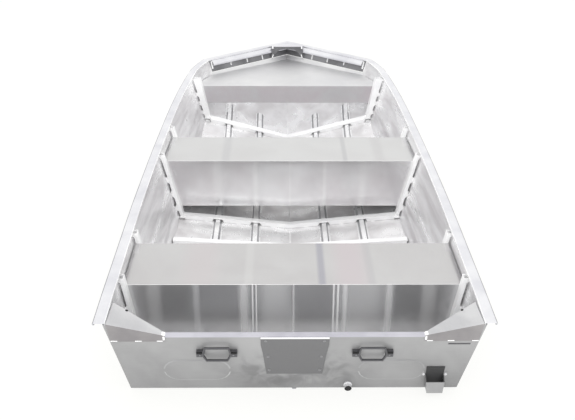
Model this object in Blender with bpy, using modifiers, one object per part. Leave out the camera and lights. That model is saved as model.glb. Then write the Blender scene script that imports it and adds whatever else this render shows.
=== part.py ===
"""Open aluminium jon boat with a modified-V bottom, as an assembly of separate pieces.

Metres, +Z up, +Y towards the bow, +X to starboard. The hull is drawn in its own coordinates:
Y = 0 at the foot of the transom and Z = 0 on the outside of the bottom along the keel. One empty
carries every piece and puts the origin on the floor, under the middle of the boat.
"""

import math
from typing import Callable, NamedTuple

import bmesh
import bpy
from mathutils import Matrix, Vector

# Clearances between pieces that touch
GAP = 0.0003
SEAT = 0.0005

# Modelling tolerances and steps
WELD_DISTANCE = 0.00001
MIRROR_MERGE = 0.0001
BISECTIONS = 32
CIRCLE_STEPS = 20
END_STEPS = 8
SHARP_ANGLE = math.radians(30)

# Overall hull sizes
HULL_LENGTH = 3.530
BOTTOM_HALF = 0.699
SHEER_HALF = 0.767
SHEER_HEIGHT = 0.4085
SHEER_SLOPE = 0.0489
TRANSOM_RAKE = math.radians(16.0)

# Sheet thicknesses
HULL_SHEET = 0.0025
TRANSOM_SHEET = 0.0030
FRAME_SHEET = 0.0022
BENCH_SHEET = 0.0020
RAIL_SHEET = 0.0020
KNEE_SHEET = 0.0030

# Hull lines forward of the transom. Lengths along the boat are shares of HULL_LENGTH, because the
# keel, the chine and the sheer end at different places at the bow; the rest are metres:
# keel_at, chine_at, sheer_at, keel_rise, vee (chine above keel), chine_in (from BOTTOM_HALF),
# sheer_in (from SHEER_HALF), sheer_lift (above the straight sheer line)
HULL_LINES = (
    (0.113, 0.113, 0.113, 0.000, 0.002, 0.003, -0.005, 0.000),
    (0.255, 0.255, 0.255, 0.000, 0.020, 0.017, -0.008, 0.000),
    (0.368, 0.368, 0.368, 0.000, 0.045, 0.031, -0.005, 0.000),
    (0.453, 0.453, 0.453, 0.000, 0.070, 0.041, 0.000, 0.001),
    (0.552, 0.552, 0.552, 0.000, 0.098, 0.051, 0.010, 0.006),
    (0.652, 0.652, 0.652, 0.020, 0.118, 0.064, 0.026, 0.017),
    (0.737, 0.737, 0.737, 0.062, 0.138, 0.081, 0.050, 0.032),
    (0.805, 0.805, 0.805, 0.120, 0.160, 0.099, 0.081, 0.050),
    (0.878, 0.839, 0.833, 0.225, 0.135, 0.110, 0.099, 0.060),
    (0.943, 0.864, 0.861, 0.375, 0.075, 0.121, 0.133, 0.069),
    (1.000, 0.881, 0.885, 0.575, -0.030, 0.134, 0.170, 0.077),
)
STEPS_BETWEEN_LINES = 2
BOTTOM_STRIPS = 7
NOSE_APEX_FORWARD = 0.035
NOSE_APEX_HEIGHT = 0.668

# Each side is three sheets, butted where a frame or a bench hides the joint: name, first station
SIDE_SHEETS = (("aft", 0), ("middle", 3), ("fore", 8))
SIDE_LEVELS = (0.6, 0.8)

# Two swages pressed outwards into each side: start, end (shares of the side's height). They fade
# over the stations next to the transom, and end some stations short of the nose
SIDE_SWAGES = ((0.16, 0.25), (0.36, 0.45))
SWAGE_DEPTH = 0.006
SWAGE_SLOPE = 0.02
SWAGE_STERN_FADE = 2
SWAGE_BOW_FADE = 3
SWAGE_BOW_PLAIN = 2

# What a sheet takes up along another one that it meets at a slant, as a share of its thickness
CHINE_SLANT = 1.3
KNEE_SLANT = 1.25
KNEE_EDGE_SLANT = 1.5

# Gunwale extrusion, outwards and upwards from the top of the side
RAIL_INNER = 0.013
RAIL_OUTER = 0.038
RAIL_LIP = 0.010
RAIL_CORNER = 0.002
RAIL_BEAD = 0.006
RAIL_BEAD_STEPS = 4
RAIL_RETURN = 0.010
RAIL_RETURN_RISE = 0.002
RAIL_OVERHANG = 0.006

# Bow header, and the section of the rounded angle inside it, outwards and upwards from the rail
HEADER_EDGE_CLEARANCE = 0.0035
HEADER_STEPS = 4
BOW_ANGLE_FROM_CORNER = 0.030
BOW_ANGLE_REACH = 0.0365
BOW_ANGLE_SECTION = (
    (-RAIL_INNER, -RAIL_LIP - GAP),
    (-0.0220, -0.0190),
    (-0.0340, -0.0310),
    (-BOW_ANGLE_REACH, -0.0400),
    (-0.0300, -0.0485),
)

# Hand-hold plate in the nose, below the bow cap's top
HOLD_HALF = 0.120
HOLD_DROP = 0.004
HOLD_LIP = 0.018
HOLD_LEG = 0.098
HOLD_ARCH_POWER = 3
HOLD_STEPS = 8

# Side frames and floor ribs: place of the bench edge they back, -1 aft or +1 forward of it, depth
# at the foot, depth at the top
BENCH_DEPTH = 0.364
REAR_BENCH_AT = 0.262
MIDDLE_BENCH_AT = 1.593
DECK_AT = 2.840
FRAME_WIDTH = 0.040
FRAMES = (
    (REAR_BENCH_AT, -1, 0.026, 0.026),
    (REAR_BENCH_AT + BENCH_DEPTH, 1, 0.026, 0.026),
    (MIDDLE_BENCH_AT, -1, 0.028, 0.028),
    (MIDDLE_BENCH_AT + BENCH_DEPTH, 1, 0.028, 0.028),
    (DECK_AT, -1, 0.036, 0.055),
)
FRAME_FOOT_CLEARANCE = 0.002
OPEN_RIB_AT = 1.282
OPEN_RIB_END_GAP = 0.006

# Slots in the frames' edges between the welds: start, end (shares of the frame's height)
FRAME_SLOTS = ((0.02, 0.12), (0.20, 0.34), (0.43, 0.57), (0.65, 0.96))
FRAME_SLOT_DEPTH = 0.008
FRAME_SLOT_RAMP = 0.015

# Floor ribs
RIB_DEPTH = 0.026
RIB_END_GAP = 0.0015
RIB_NOTCH_MARGIN = 0.004
RIB_NOTCH_SLOPE = 0.010
RIB_NOTCH_CLEARANCE = 0.004

# Hat-section stringers on the bottom
STRINGER_OFFSETS = (0.205, 0.430)
STRINGER_TOP_HALF = 0.012
STRINGER_FOOT_HALF = 0.022
STRINGER_BRIM_HALF = 0.032
STRINGER_DEPTH = 0.012
STRINGER_SHEET = 0.0016
STRINGER_FROM = 0.060
STRINGER_TO = 3.000

# Benches and bow deck, as heights of planes that climb forward with the sheer
BENCH_HEIGHT = 0.3455
BENCH_FOOT = 0.0580
DECK_HEIGHT = 0.3785
DECK_FOOT = 0.2530
BENCH_HEM = 0.018
BENCH_END_GAP = 0.006
DECK_SIDE_GAP = 0.008
DECK_COLUMNS = 12

# Transom
CAP_HALF = 0.524
CAP_HEIGHT = 0.330
CAP_SHEET = 0.0025
CAP_FLANGE = 0.011
CORE_HALF = 0.500
CORE_THICKNESS = 0.015
CORE_FOOT = 0.050
KNEE_SEAM = 0.2952
KNEE_RISE = 0.396
KNEE_REACH = 0.160
KNEE_STEPS = 6
OVAL_CENTRE = (0.407, 0.118)
OVAL_HALF_LENGTH = 0.141
OVAL_HALF_HEIGHT = 0.0655
OVAL_END_STEPS = 9
OVAL_PRESS = 0.003
OVAL_SLOPE = 0.005

# Drain fitting, with its turned section as radius and distance out from the skin
DRAIN_AT = (0.2285, 0.024)
DRAIN_HOLE_RADIUS = 0.0105
DRAIN_SECTION = (
    (DRAIN_HOLE_RADIUS, 0.0),
    (0.0180, 0.0),
    (0.0180, 0.0050),
    (0.0150, 0.0070),
    (0.0150, 0.0200),
    (DRAIN_HOLE_RADIUS, 0.0200),
)

# Knee from the floor up to the transom board
BRACE_HALF = 0.004
BRACE_REACH = 0.110
BRACE_TOE = 0.012
BRACE_TOP = 0.086
BRACE_HEAD = 0.018

# Motor plates: distance down from the top edge, half-width there
MOTOR_PLATE_THICKNESS = 0.004
MOTOR_PLATE_EDGE = ((0.0, 0.139), (0.046, 0.139), (0.107, 0.130), (0.157, 0.125), (0.231, 0.117))

# Grab handles
HANDLE_AT = (0.319, 0.2330)
HANDLE_BAR_RADIUS = 0.0045
HANDLE_STANDOFF = 0.016
HANDLE_HALF_LOOP = 0.059
HANDLE_HALF_TOP = 0.0485
HANDLE_HALF_FOOT = 0.043
HANDLE_HALF_HEIGHT = 0.038
TAB_WIDTH = 0.030
TAB_HEIGHT = 0.026
TAB_OVERLAP = 0.006

# Sensor bracket low on the starboard side of the transom: an open box on a back plate
BRACKET_AT = 0.592
BRACKET_DEPTH = 0.055
BRACKET_FOOT_HALF = 0.0335
BRACKET_TOP_HALF = 0.0390
BRACKET_FOOT = 0.014
BRACKET_FRONT_TOP = 0.069
BRACKET_REAR_TOP = 0.092
BRACKET_BACK_TOP = 0.137
BRACKET_SHEET = 0.003

# Keel and runners under the bottom
RUNNER_DEPTH = 0.008
RUNNER_HALF = 0.011
RUNNER_SOLE_SHARE = 0.6
RUNNER_OFFSET = 0.430
RUNNER_FROM = 0.080
RUNNER_TO = 2.700
KEEL_FROM = 0.000
KEEL_JOINT = 1.950
KEEL_TO = 3.300

# Bow eye
BOW_EYE_AT = 3.400
BOW_EYE_RADIUS = 0.005
BOW_EYE_REACH = 0.034
BOW_EYE_HALF = 0.018
BOW_EYE_PAD = (0.044, 0.068, 0.004)
BOW_EYE_ROOT = 0.001
BOW_EYE_SPAN = 0.050

ALUMINIUM = {
    "bare": ((0.78, 0.78, 0.80), 0.34),
    "rail": ((0.84, 0.84, 0.86), 0.30),
    "bright": ((0.80, 0.79, 0.80), 0.22),
    "painted": ((0.30, 0.30, 0.31), 0.55),
    "cast": ((0.42, 0.42, 0.43), 0.45),
}

BOAT = bpy.data.collections.new("jon_boat")
CUTTERS = bpy.data.collections.new("cutters")
PROFILE_LINE = list[tuple[float, float]]


class Station(NamedTuple):
    """The starboard half of one hull section, as the points of its three lines."""

    keel: Vector
    chine: Vector
    sheer: Vector


def stern_plane(height: float, inset: float = 0.0) -> float:
    """Y of the transom's outer face at a height, moved inboard by inset square to the face."""
    return inset / math.cos(TRANSOM_RAKE) - height * math.tan(TRANSOM_RAKE)


def curve_through(rows: list[tuple[float, ...]], steps: int) -> list[list[float]]:
    """A smooth curve through rows of numbers, with the given steps between them."""
    smooth = []
    padded = [rows[0], *rows, rows[-1]]
    for before, start, end, after in zip(padded, padded[1:], padded[2:], padded[3:]):
        for step in range(steps):
            t = step / steps
            smooth.append([
                0.5 * (2 * b + (c - a) * t + (2 * a - 5 * b + 4 * c - d) * t * t
                       + (3 * b - a - 3 * c + d) * t ** 3)
                for a, b, c, d in zip(before, start, end, after)])
    return [*smooth, list(rows[-1])]


def hull_stations() -> list[Station]:
    """The hull's sections from the raked transom to the bow."""
    inset = TRANSOM_SHEET + GAP
    rows = curve_through([(0.0,) * 8, *HULL_LINES], STEPS_BETWEEN_LINES)
    stations = []
    for number, row in enumerate(rows):
        keel_at, chine_at, sheer_at, keel_rise, vee, chine_in, sheer_in, sheer_lift = row
        keel_rise = max(0.0, keel_rise)
        rake = max(0.0, 1.0 - number / STEPS_BETWEEN_LINES)
        sheer_y = sheer_at * HULL_LENGTH
        sheer_z = SHEER_HEIGHT + SHEER_SLOPE * sheer_y + sheer_lift
        if number == 0:
            sheer_z = SHEER_HEIGHT / (1 + SHEER_SLOPE * math.tan(TRANSOM_RAKE))
        stations.append(Station(
            Vector((0.0, keel_at * HULL_LENGTH + rake * stern_plane(0.0, inset), keel_rise)),
            Vector((BOTTOM_HALF - chine_in, chine_at * HULL_LENGTH + rake * stern_plane(0.0, inset),
                    keel_rise + vee)),
            Vector((SHEER_HALF - sheer_in, sheer_y + rake * stern_plane(sheer_z, inset), sheer_z))))
    return stations


STATIONS = hull_stations()
NOSE_APEX = Vector((0.0, STATIONS[-1].keel.y + NOSE_APEX_FORWARD, NOSE_APEX_HEIGHT))


def line_at(line: str, y: float) -> Vector:
    """The point of the keel, chine or sheer line at a given Y."""
    points = [getattr(station, line) for station in STATIONS]
    for start, end in zip(points, points[1:]):
        if y <= end.y:
            break
    return start.lerp(end, (y - start.y) / (end.y - start.y))


def side_x(y: float, z: float, inset: float = 0.0) -> float:
    """Half-width of the side's outer face at Y and Z, less an inset square to the side."""
    chine = line_at("chine", y)
    sheer = line_at("sheer", y)
    run = sheer.x - chine.x
    rise = sheer.z - chine.z
    return chine.x + run * (z - chine.z) / rise - inset * math.hypot(run, rise) / rise


def floor_z(x: float, y: float, lift: float = 0.0) -> float:
    """Height of the bottom's outer face at X and Y, raised by lift square to the bottom."""
    low = 0.0
    high = float(len(STATIONS) - 1)
    for _ in range(BISECTIONS):
        middle = (low + high) / 2
        keel, chine = bottom_edges(middle)
        share = abs(x) / chine.x
        if keel.y + (chine.y - keel.y) * share < y:
            low = middle
        else:
            high = middle
    slope_across = (chine.z - keel.z) / chine.x
    ahead = bottom_edges(min(middle + 0.5, len(STATIONS) - 1.0))[0]
    behind = bottom_edges(max(middle - 0.5, 0.0))[0]
    slope_along = (ahead.z - behind.z) / (ahead.y - behind.y)
    steepness = math.sqrt(1 + slope_across ** 2 + slope_along ** 2)
    return keel.z + (chine.z - keel.z) * share + lift * steepness


def bottom_edges(place: float) -> tuple[Vector, Vector]:
    """Keel and chine points at a fractional station number."""
    index = min(int(place), len(STATIONS) - 2)
    share = place - index
    start = STATIONS[index]
    end = STATIONS[index + 1]
    return start.keel.lerp(end.keel, share), start.chine.lerp(end.chine, share)


def floor_run(x: float, start: float, end: float) -> list[float]:
    """Every Y between two ends where the bottom's facets meet at a half-width, with the ends."""
    folds = []
    for station in STATIONS:
        share = abs(x) / station.chine.x
        folds.append(station.keel.y + (station.chine.y - station.keel.y) * share)
    return [start, *(y for y in folds if start < y < end), end]


def climbing(height: float, y: float) -> float:
    """Height at Y of a plane that climbs forward with the straight sheer line."""
    return height + SHEER_SLOPE * y


def material(name: str) -> bpy.types.Material:
    """A Principled aluminium, made once for each finish."""
    found = bpy.data.materials.get(name)
    if found:
        return found
    colour, roughness = ALUMINIUM[name]
    made = bpy.data.materials.new(name)
    made.use_nodes = True
    shader = made.node_tree.nodes["Principled BSDF"]
    shader.inputs["Base Color"].default_value = (*colour, 1.0)
    shader.inputs["Metallic"].default_value = 1.0
    shader.inputs["Roughness"].default_value = roughness
    made.diffuse_color = (*colour, 1.0)
    return made


def place(name: str, mesh: bpy.types.Mesh, finish: str, frame: Matrix | None = None) -> bpy.types.Object:
    """Link one named piece into the boat, in a frame of the hull's coordinates."""
    piece = bpy.data.objects.new(name, mesh)
    mesh.materials.clear()
    mesh.materials.append(material(finish))
    mesh.set_sharp_from_angle(angle=SHARP_ANGLE)
    BOAT.objects.link(piece)
    piece.matrix_local = frame or Matrix.Identity(4)
    return piece


def surface(name: str, rows: list[list[Vector]], hand: int = 1) -> bpy.types.Mesh:
    """An open surface lofted through rows of points, or its mirror image for the port hand."""
    made = bmesh.new()
    grid = [[made.verts.new(point) for point in row] for row in rows]
    for row, next_row in zip(grid, grid[1:]):
        for index in range(len(row) - 1):
            made.faces.new((row[index], row[index + 1], next_row[index + 1], next_row[index]))
    if hand < 0:
        bmesh.ops.transform(made, matrix=Matrix.Scale(-1, 4, Vector((1, 0, 0))), verts=made.verts)
        bmesh.ops.reverse_faces(made, faces=made.faces)
    mesh = bpy.data.meshes.new(name)
    made.to_mesh(mesh)
    made.free()
    mesh.shade_smooth()
    return mesh


def thicken(piece: bpy.types.Object, thickness: float, offset: float = -1.0) -> bpy.types.Object:
    """Give a surface its sheet thickness, below its face or above it."""
    solidify = piece.modifiers.new("thickness", "SOLIDIFY")
    solidify.thickness = thickness
    solidify.offset = offset
    solidify.use_even_offset = True
    return piece


def sheet(name: str, rows: list[list[Vector]], thickness: float, finish: str,
          offset: float = -1.0) -> bpy.types.Object:
    """A formed sheet that runs right across the boat or stands on one side of it."""
    return thicken(place(name, surface(name, rows), finish), thickness, offset)


def mirrored_sheet(name: str, rows: list[list[Vector]], thickness: float, finish: str,
                   offset: float = -1.0) -> bpy.types.Object:
    """A sheet that crosses the boat, given as the half that ends on the centre plane."""
    piece = place(name, surface(name, rows), finish)
    mirror = piece.modifiers.new("mirror", "MIRROR")
    mirror.merge_threshold = MIRROR_MERGE
    return thicken(piece, thickness, offset)


def both_hands(name: str, rows: list[list[Vector]], thickness: float, finish: str,
               offset: float = -1.0) -> None:
    """A starboard sheet and its port twin."""
    for hand, side in ((1, "right"), (-1, "left")):
        label = f"{name}_{side}"
        thicken(place(label, surface(label, rows, hand), finish), thickness, offset)


def flat_mesh(name: str, outlines: list[PROFILE_LINE], thickness: float) -> bpy.types.Mesh:
    """A flat plate from closed outlines, with holes where they nest, centred on its plane."""
    curve = bpy.data.curves.new(name, "CURVE")
    curve.dimensions = "2D"
    curve.fill_mode = "BOTH"
    curve.extrude = thickness / 2
    for outline in outlines:
        spline = curve.splines.new("POLY")
        spline.points.add(len(outline) - 1)
        for point, (x, y) in zip(spline.points, outline):
            point.co = (x, y, 0.0, 1.0)
        spline.use_cyclic_u = True
    return curve_mesh(name, curve)


def curve_mesh(name: str, curve: bpy.types.Curve) -> bpy.types.Mesh:
    """The closed mesh of a curve, with its caps welded on."""
    shape = bpy.data.objects.new(name, curve)
    bpy.context.scene.collection.objects.link(shape)
    evaluated = shape.evaluated_get(bpy.context.evaluated_depsgraph_get())
    mesh = bpy.data.meshes.new_from_object(evaluated)
    bpy.data.objects.remove(shape)
    welded = bmesh.new()
    welded.from_mesh(mesh)
    bmesh.ops.remove_doubles(welded, verts=welded.verts, dist=WELD_DISTANCE)
    bmesh.ops.recalc_face_normals(welded, faces=welded.faces)
    welded.to_mesh(mesh)
    welded.free()
    return mesh


def bar_mesh(name: str, points: list[Vector], radius: float, closed: bool) -> bpy.types.Mesh:
    """A round bar bent through points."""
    curve = bpy.data.curves.new(name, "CURVE")
    curve.dimensions = "3D"
    curve.bevel_depth = radius
    curve.bevel_resolution = 2
    curve.use_fill_caps = True
    spline = curve.splines.new("POLY")
    spline.points.add(len(points) - 1)
    for point, place_of in zip(spline.points, points):
        point.co = (*place_of, 1.0)
    spline.use_cyclic_u = closed
    return curve_mesh(name, curve)


def prism_x(name: str, profile: PROFILE_LINE, low: float, high: float, finish: str) -> bpy.types.Object:
    """A solid bar across the boat: a profile in Y and Z between two values of X."""
    frame = Matrix(((0, 0, 1, (low + high) / 2), (1, 0, 0, 0), (0, 1, 0, 0), (0, 0, 0, 1)))
    return place(name, flat_mesh(name, [profile], high - low), finish, frame)


def transom_frame(outwards: float) -> Matrix:
    """X across, Y up the raked face and Z square out of it, at a distance outside the skin."""
    sine = math.sin(TRANSOM_RAKE)
    cosine = math.cos(TRANSOM_RAKE)
    return Matrix(((1, 0, 0, 0), (0, -sine, -cosine, -cosine * outwards),
                   (0, cosine, -sine, -sine * outwards), (0, 0, 0, 1)))


def combine(target: bpy.types.Object, tool: bpy.types.Object, operation: str) -> None:
    """Cut or join a piece with a tool that is kept, hidden, among the cutters."""
    BOAT.objects.unlink(tool)
    CUTTERS.objects.link(tool)
    tool.hide_render = True
    tool.display_type = "WIRE"
    boolean = target.modifiers.new(tool.name, "BOOLEAN")
    boolean.object = tool
    boolean.operation = operation
    boolean.solver = "EXACT"


def arc(centre: tuple[float, float], radius: float, start: float, end: float, steps: int) -> PROFILE_LINE:
    """Points along a circular arc, with angles in degrees."""
    angles = [math.radians(start + (end - start) * i / steps) for i in range(steps + 1)]
    return [(centre[0] + radius * math.cos(a), centre[1] + radius * math.sin(a)) for a in angles]


def circle(centre: tuple[float, float], radius: float) -> PROFILE_LINE:
    """Points round a full circle."""
    return arc(centre, radius, 0, 360, CIRCLE_STEPS)[:-1]


def stadium(centre: tuple[float, float], half_length: float, half_height: float) -> PROFILE_LINE:
    """A long oval: two straight sides and two half-round ends."""
    reach = half_length - half_height
    right = arc((centre[0] + reach, centre[1]), half_height, -90, 90, OVAL_END_STEPS)
    left = arc((centre[0] - reach, centre[1]), half_height, 90, 270, OVAL_END_STEPS)
    return right + left


def ringed_mesh(name: str, rings: list[list[Vector]], hollow: bool = False) -> bpy.types.Mesh:
    """A closed body skinned over rings of points: capped at its ends, or joined end to end."""
    made = bmesh.new()
    grid = [[made.verts.new(point) for point in ring] for ring in rings]
    if hollow:
        grid.append(grid[0])
    else:
        made.faces.new(reversed(grid[0]))
        made.faces.new(grid[-1])
    for ring, next_ring in zip(grid, grid[1:]):
        for index in range(len(ring)):
            other = (index + 1) % len(ring)
            made.faces.new((ring[index], ring[other], next_ring[other], next_ring[index]))
    bmesh.ops.recalc_face_normals(made, faces=made.faces)
    mesh = bpy.data.meshes.new(name)
    made.to_mesh(mesh)
    made.free()
    return mesh


def make_bottom() -> None:
    """The bottom sheet: flat at the transom, a V amidships, swept up to the nose."""
    rows = [[station.keel.lerp(station.chine, strip / BOTTOM_STRIPS) for strip in range(BOTTOM_STRIPS + 1)]
            for station in reversed(STATIONS)]
    mirrored_sheet("hull_bottom", rows, HULL_SHEET, "bare")


def edge_drop(run: float, rise: float) -> float:
    """How far down its own face a leaning sheet ends, as a share, to clear the rail's underside."""
    return (RAIL_SHEET + GAP * 2 + HULL_SHEET * run / math.hypot(run, rise)) / rise


def side_profile(fade: float, across: Vector) -> list[tuple[float, float]]:
    """Share up the side and outward offset, from above the bottom sheet to under the rail."""
    profile = [((HULL_SHEET + GAP) * CHINE_SLANT / across.length, 0.0)]
    for start, end in SIDE_SWAGES:
        profile += [(start, 0.0), (start + SWAGE_SLOPE, SWAGE_DEPTH * fade),
                    (end - SWAGE_SLOPE, SWAGE_DEPTH * fade), (end, 0.0)]
    profile += [(level, 0.0) for level in SIDE_LEVELS]
    return [*profile, (1 - edge_drop(across.x, across.z), 0.0)]


def make_sides() -> None:
    """Each side's sheets, leaning out from the chine to the rail, with their pressed swages."""
    last = len(STATIONS) - 1
    rows = []
    for number, station in enumerate(STATIONS):
        across = station.sheer - station.chine
        outwards = Vector((across.z, 0.0, -across.x)).normalized()
        fade = min(1.0, number / SWAGE_STERN_FADE,
                   max(0.0, (last - number - SWAGE_BOW_PLAIN) / SWAGE_BOW_FADE))
        rows.append([station.chine + across * share + outwards * offset
                     for share, offset in side_profile(fade, across)])
    ends = [start for _, start in SIDE_SHEETS[1:]] + [last]
    clear = Vector((0.0, GAP / 2, 0.0))
    for (name, start), end in zip(SIDE_SHEETS, ends):
        first_row = [point + clear for point in rows[start]]
        last_row = [point - clear for point in rows[end]]
        both_hands(f"hull_side_{name}", [last_row, *rows[end - 1:start:-1], first_row], HULL_SHEET, "bare")


def rail_profile() -> PROFILE_LINE:
    """The rail's outer surface: inner lip, flat top and outer bead, as (outwards, upwards)."""
    bead = arc((RAIL_OUTER - RAIL_BEAD, -RAIL_BEAD), RAIL_BEAD, 90, -90, RAIL_BEAD_STEPS)
    return [(-RAIL_INNER, -RAIL_LIP), (-RAIL_INNER, -RAIL_CORNER), (RAIL_CORNER - RAIL_INNER, 0.0), *bead,
            (RAIL_OUTER - RAIL_RETURN, RAIL_RETURN_RISE - 2 * RAIL_BEAD)]


def plan_normal(start: Vector, end: Vector) -> Vector:
    """The level unit vector that points out of the boat from an edge that runs forward."""
    along = end - start
    return Vector((along.y, -along.x, 0.0)).normalized()


def mitre(first: Vector, second: Vector) -> Vector:
    """The vector that offsets a corner by one along both of its edges' normals."""
    return (first + second) / (1 + first.dot(second))


def make_rails() -> None:
    """Gunwale extrusions over the sides, mitred to the bow cap at the corners."""
    points = [station.sheer for station in STATIONS]
    normals = [plan_normal(a, b) for a, b in zip(points, points[1:])]
    nose_normal = plan_normal(points[-1], NOSE_APEX)
    outward = [normals[0]]
    outward += [mitre(a, b) for a, b in zip(normals, normals[1:])]
    outward += [mitre(normals[-1], nose_normal)]
    rows = []
    for number, (point, out) in enumerate(zip(points, outward)):
        row = [point + out * across + Vector((0, 0, up)) for across, up in rail_profile()]
        if number == 0:
            for corner in row:
                corner.y = stern_plane(corner.z, -RAIL_OVERHANG)
        rows.append(row)
    both_hands("gunwale", rows, RAIL_SHEET, "rail")


def make_bow_cap() -> None:
    """The bow's own rail in two straight runs that meet at the apex."""
    corner = STATIONS[-1].sheer
    before = STATIONS[-2].sheer
    nose_normal = plan_normal(corner, NOSE_APEX)
    at_corner = mitre(plan_normal(before, corner), nose_normal)
    port_normal = Vector((-nose_normal.x, nose_normal.y, 0.0))
    at_apex = mitre(nose_normal, port_normal)
    clear = (NOSE_APEX - corner).normalized() * GAP * 4
    rows = [[point + out * across + Vector((0, 0, up)) for across, up in rail_profile()]
            for point, out in ((corner + clear, at_corner), (corner.lerp(NOSE_APEX, 0.5), nose_normal),
                               (NOSE_APEX, at_apex))]
    mirrored_sheet("bow_cap", rows, RAIL_SHEET, "rail")


def nose_rows(profile: tuple[tuple[float, float], ...], from_corner: float) -> list[list[Vector]]:
    """Rows of a section (outwards, upwards) swept along half of the nose, from short of its corner."""
    corner = STATIONS[-1].sheer
    nose_normal = plan_normal(corner, NOSE_APEX)
    port_normal = Vector((-nose_normal.x, nose_normal.y, 0.0))
    start = corner + (NOSE_APEX - corner).normalized() * from_corner
    return [[point + out * across + Vector((0, 0, up)) for across, up in profile]
            for point, out in ((start, nose_normal), (corner.lerp(NOSE_APEX, 0.5), nose_normal),
                               (NOSE_APEX, mitre(nose_normal, port_normal)))]


def make_bow_header() -> None:
    """The V-shaped plate that closes the nose between the bottom sheet and the bow cap."""
    last = STATIONS[-1]
    rows = []
    for step in range(HEADER_STEPS + 1):
        share = step / HEADER_STEPS
        foot = last.chine.lerp(last.keel, share)
        head = last.sheer.lerp(NOSE_APEX, share)
        across = head - foot
        low = foot + across.normalized() * HEADER_EDGE_CLEARANCE
        high = head - across * edge_drop(across.xy.length, across.z)
        if step == 0:
            inboard = (last.keel - last.chine).normalized() * HEADER_EDGE_CLEARANCE
            low += inboard
            high += inboard
        rows.append([high, low.lerp(high, 0.5), low])
    mirrored_sheet("bow_header", rows, HULL_SHEET, "bare")


def pressing(centre: tuple[float, float]) -> bpy.types.Mesh:
    """The outside of one long oval pressed out of the skin, as a body that starts inside it."""
    start = -TRANSOM_SHEET / 2
    rings = []
    for outwards in (start, OVAL_PRESS):
        shrink = OVAL_SLOPE * outwards / OVAL_PRESS
        outline = stadium(centre, OVAL_HALF_LENGTH - shrink, OVAL_HALF_HEIGHT - shrink)
        rings.append([Vector((x, y, outwards)) for x, y in outline])
    return ringed_mesh("oval", rings)


def make_transom() -> None:
    """The raked transom skin with two long ovals pressed out of it and the drain hole."""
    cosine = math.cos(TRANSOM_RAKE)
    skin_rise = TRANSOM_SHEET * math.sin(TRANSOM_RAKE)
    corner_z = KNEE_RISE - (KNEE_SHEET + GAP) * KNEE_SLANT - skin_rise
    corner_x = side_x(stern_plane(corner_z, TRANSOM_SHEET), corner_z)
    flat_z = CAP_HEIGHT - max(CAP_SHEET, KNEE_SHEET * KNEE_SLANT) - GAP - skin_rise
    outline = [(-BOTTOM_HALF, 0.0), (BOTTOM_HALF, 0.0), (corner_x, corner_z / cosine),
               (CAP_HALF, flat_z / cosine), (-CAP_HALF, flat_z / cosine), (-corner_x, corner_z / cosine)]
    drain = circle((DRAIN_AT[0], DRAIN_AT[1] / cosine), DRAIN_HOLE_RADIUS)
    skin = place("transom_skin", flat_mesh("transom_skin", [outline, drain], TRANSOM_SHEET), "bare",
                 transom_frame(-TRANSOM_SHEET / 2))
    for hand in (-1, 1):
        centre = (hand * OVAL_CENTRE[0], OVAL_CENTRE[1] / cosine)
        combine(skin, place(f"oval_bulge_{hand}", pressing(centre), "bare", transom_frame(0.0)), "UNION")
        combine(skin, place(f"oval_hollow_{hand}", pressing(centre), "bare",
                            transom_frame(-TRANSOM_SHEET)), "DIFFERENCE")


def core_faces() -> tuple[float, float]:
    """Insets of the transom board's aft and forward faces from the skin's outer face."""
    aft = TRANSOM_SHEET + GAP
    return aft, aft + CORE_THICKNESS


def make_transom_core() -> None:
    """The clad board that stiffens the transom, shown inside the boat below the cap."""
    aft, forward = core_faces()
    top = CAP_HEIGHT - CAP_SHEET - GAP
    profile = [(stern_plane(CORE_FOOT, aft), CORE_FOOT), (stern_plane(CORE_FOOT, forward), CORE_FOOT),
               (stern_plane(top, forward), top), (stern_plane(top, aft), top)]
    prism_x("transom_board", profile, -CORE_HALF, CORE_HALF, "bare")


def make_transom_cap() -> None:
    """The channel that caps the skin and the board between the corner knees."""
    _, forward = core_faces()
    low = CAP_HEIGHT - CAP_FLANGE
    outer = -CAP_SHEET - GAP
    inner = forward + GAP + CAP_SHEET
    profile = [(stern_plane(low, inner), low), (stern_plane(CAP_HEIGHT, inner), CAP_HEIGHT),
               (stern_plane(CAP_HEIGHT, outer), CAP_HEIGHT), (stern_plane(low, outer), low)]
    rows = [[Vector((x, y, z)) for y, z in profile] for x in (-CAP_HALF, CAP_HALF)]
    sheet("transom_cap", rows, CAP_SHEET, "rail")


def make_corner_knees() -> None:
    """Sloping plates from the cap up to the rail, with a flange down the transom's outside."""
    _, board_front = core_faces()
    outer = -KNEE_SHEET - GAP * 2
    rows = []
    tip = CAP_HALF + GAP * 2
    for step in range(KNEE_STEPS + 1):
        share = step / KNEE_STEPS
        top = CAP_HEIGHT + (KNEE_RISE - CAP_HEIGHT) * share
        reach = board_front + (KNEE_REACH - board_front) * share
        aft = stern_plane(top, outer)
        forward = stern_plane(top, reach)
        shares = []
        for y, z in ((forward, top), (aft, top), (stern_plane(KNEE_SEAM, outer), KNEE_SEAM)):
            outboard = min(side_x(y, z - KNEE_SHEET * KNEE_EDGE_SLANT, HULL_SHEET + SEAT + GAP * 2),
                           SHEER_HALF - RAIL_INNER - KNEE_SHEET / 2)
            shares.append(Vector((tip + (outboard - tip) * share, y, z)))
        rows.append(shares)
    both_hands("corner_knee", rows, KNEE_SHEET, "rail")


def motor_plate_outline(top: float) -> PROFILE_LINE:
    """A clamp plate that narrows downwards, from its top edge's height up the raked face."""
    half = [(x, top - down) for down, x in reversed(MOTOR_PLATE_EDGE)]
    return half + [(-x, y) for x, y in reversed(half)]


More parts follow.
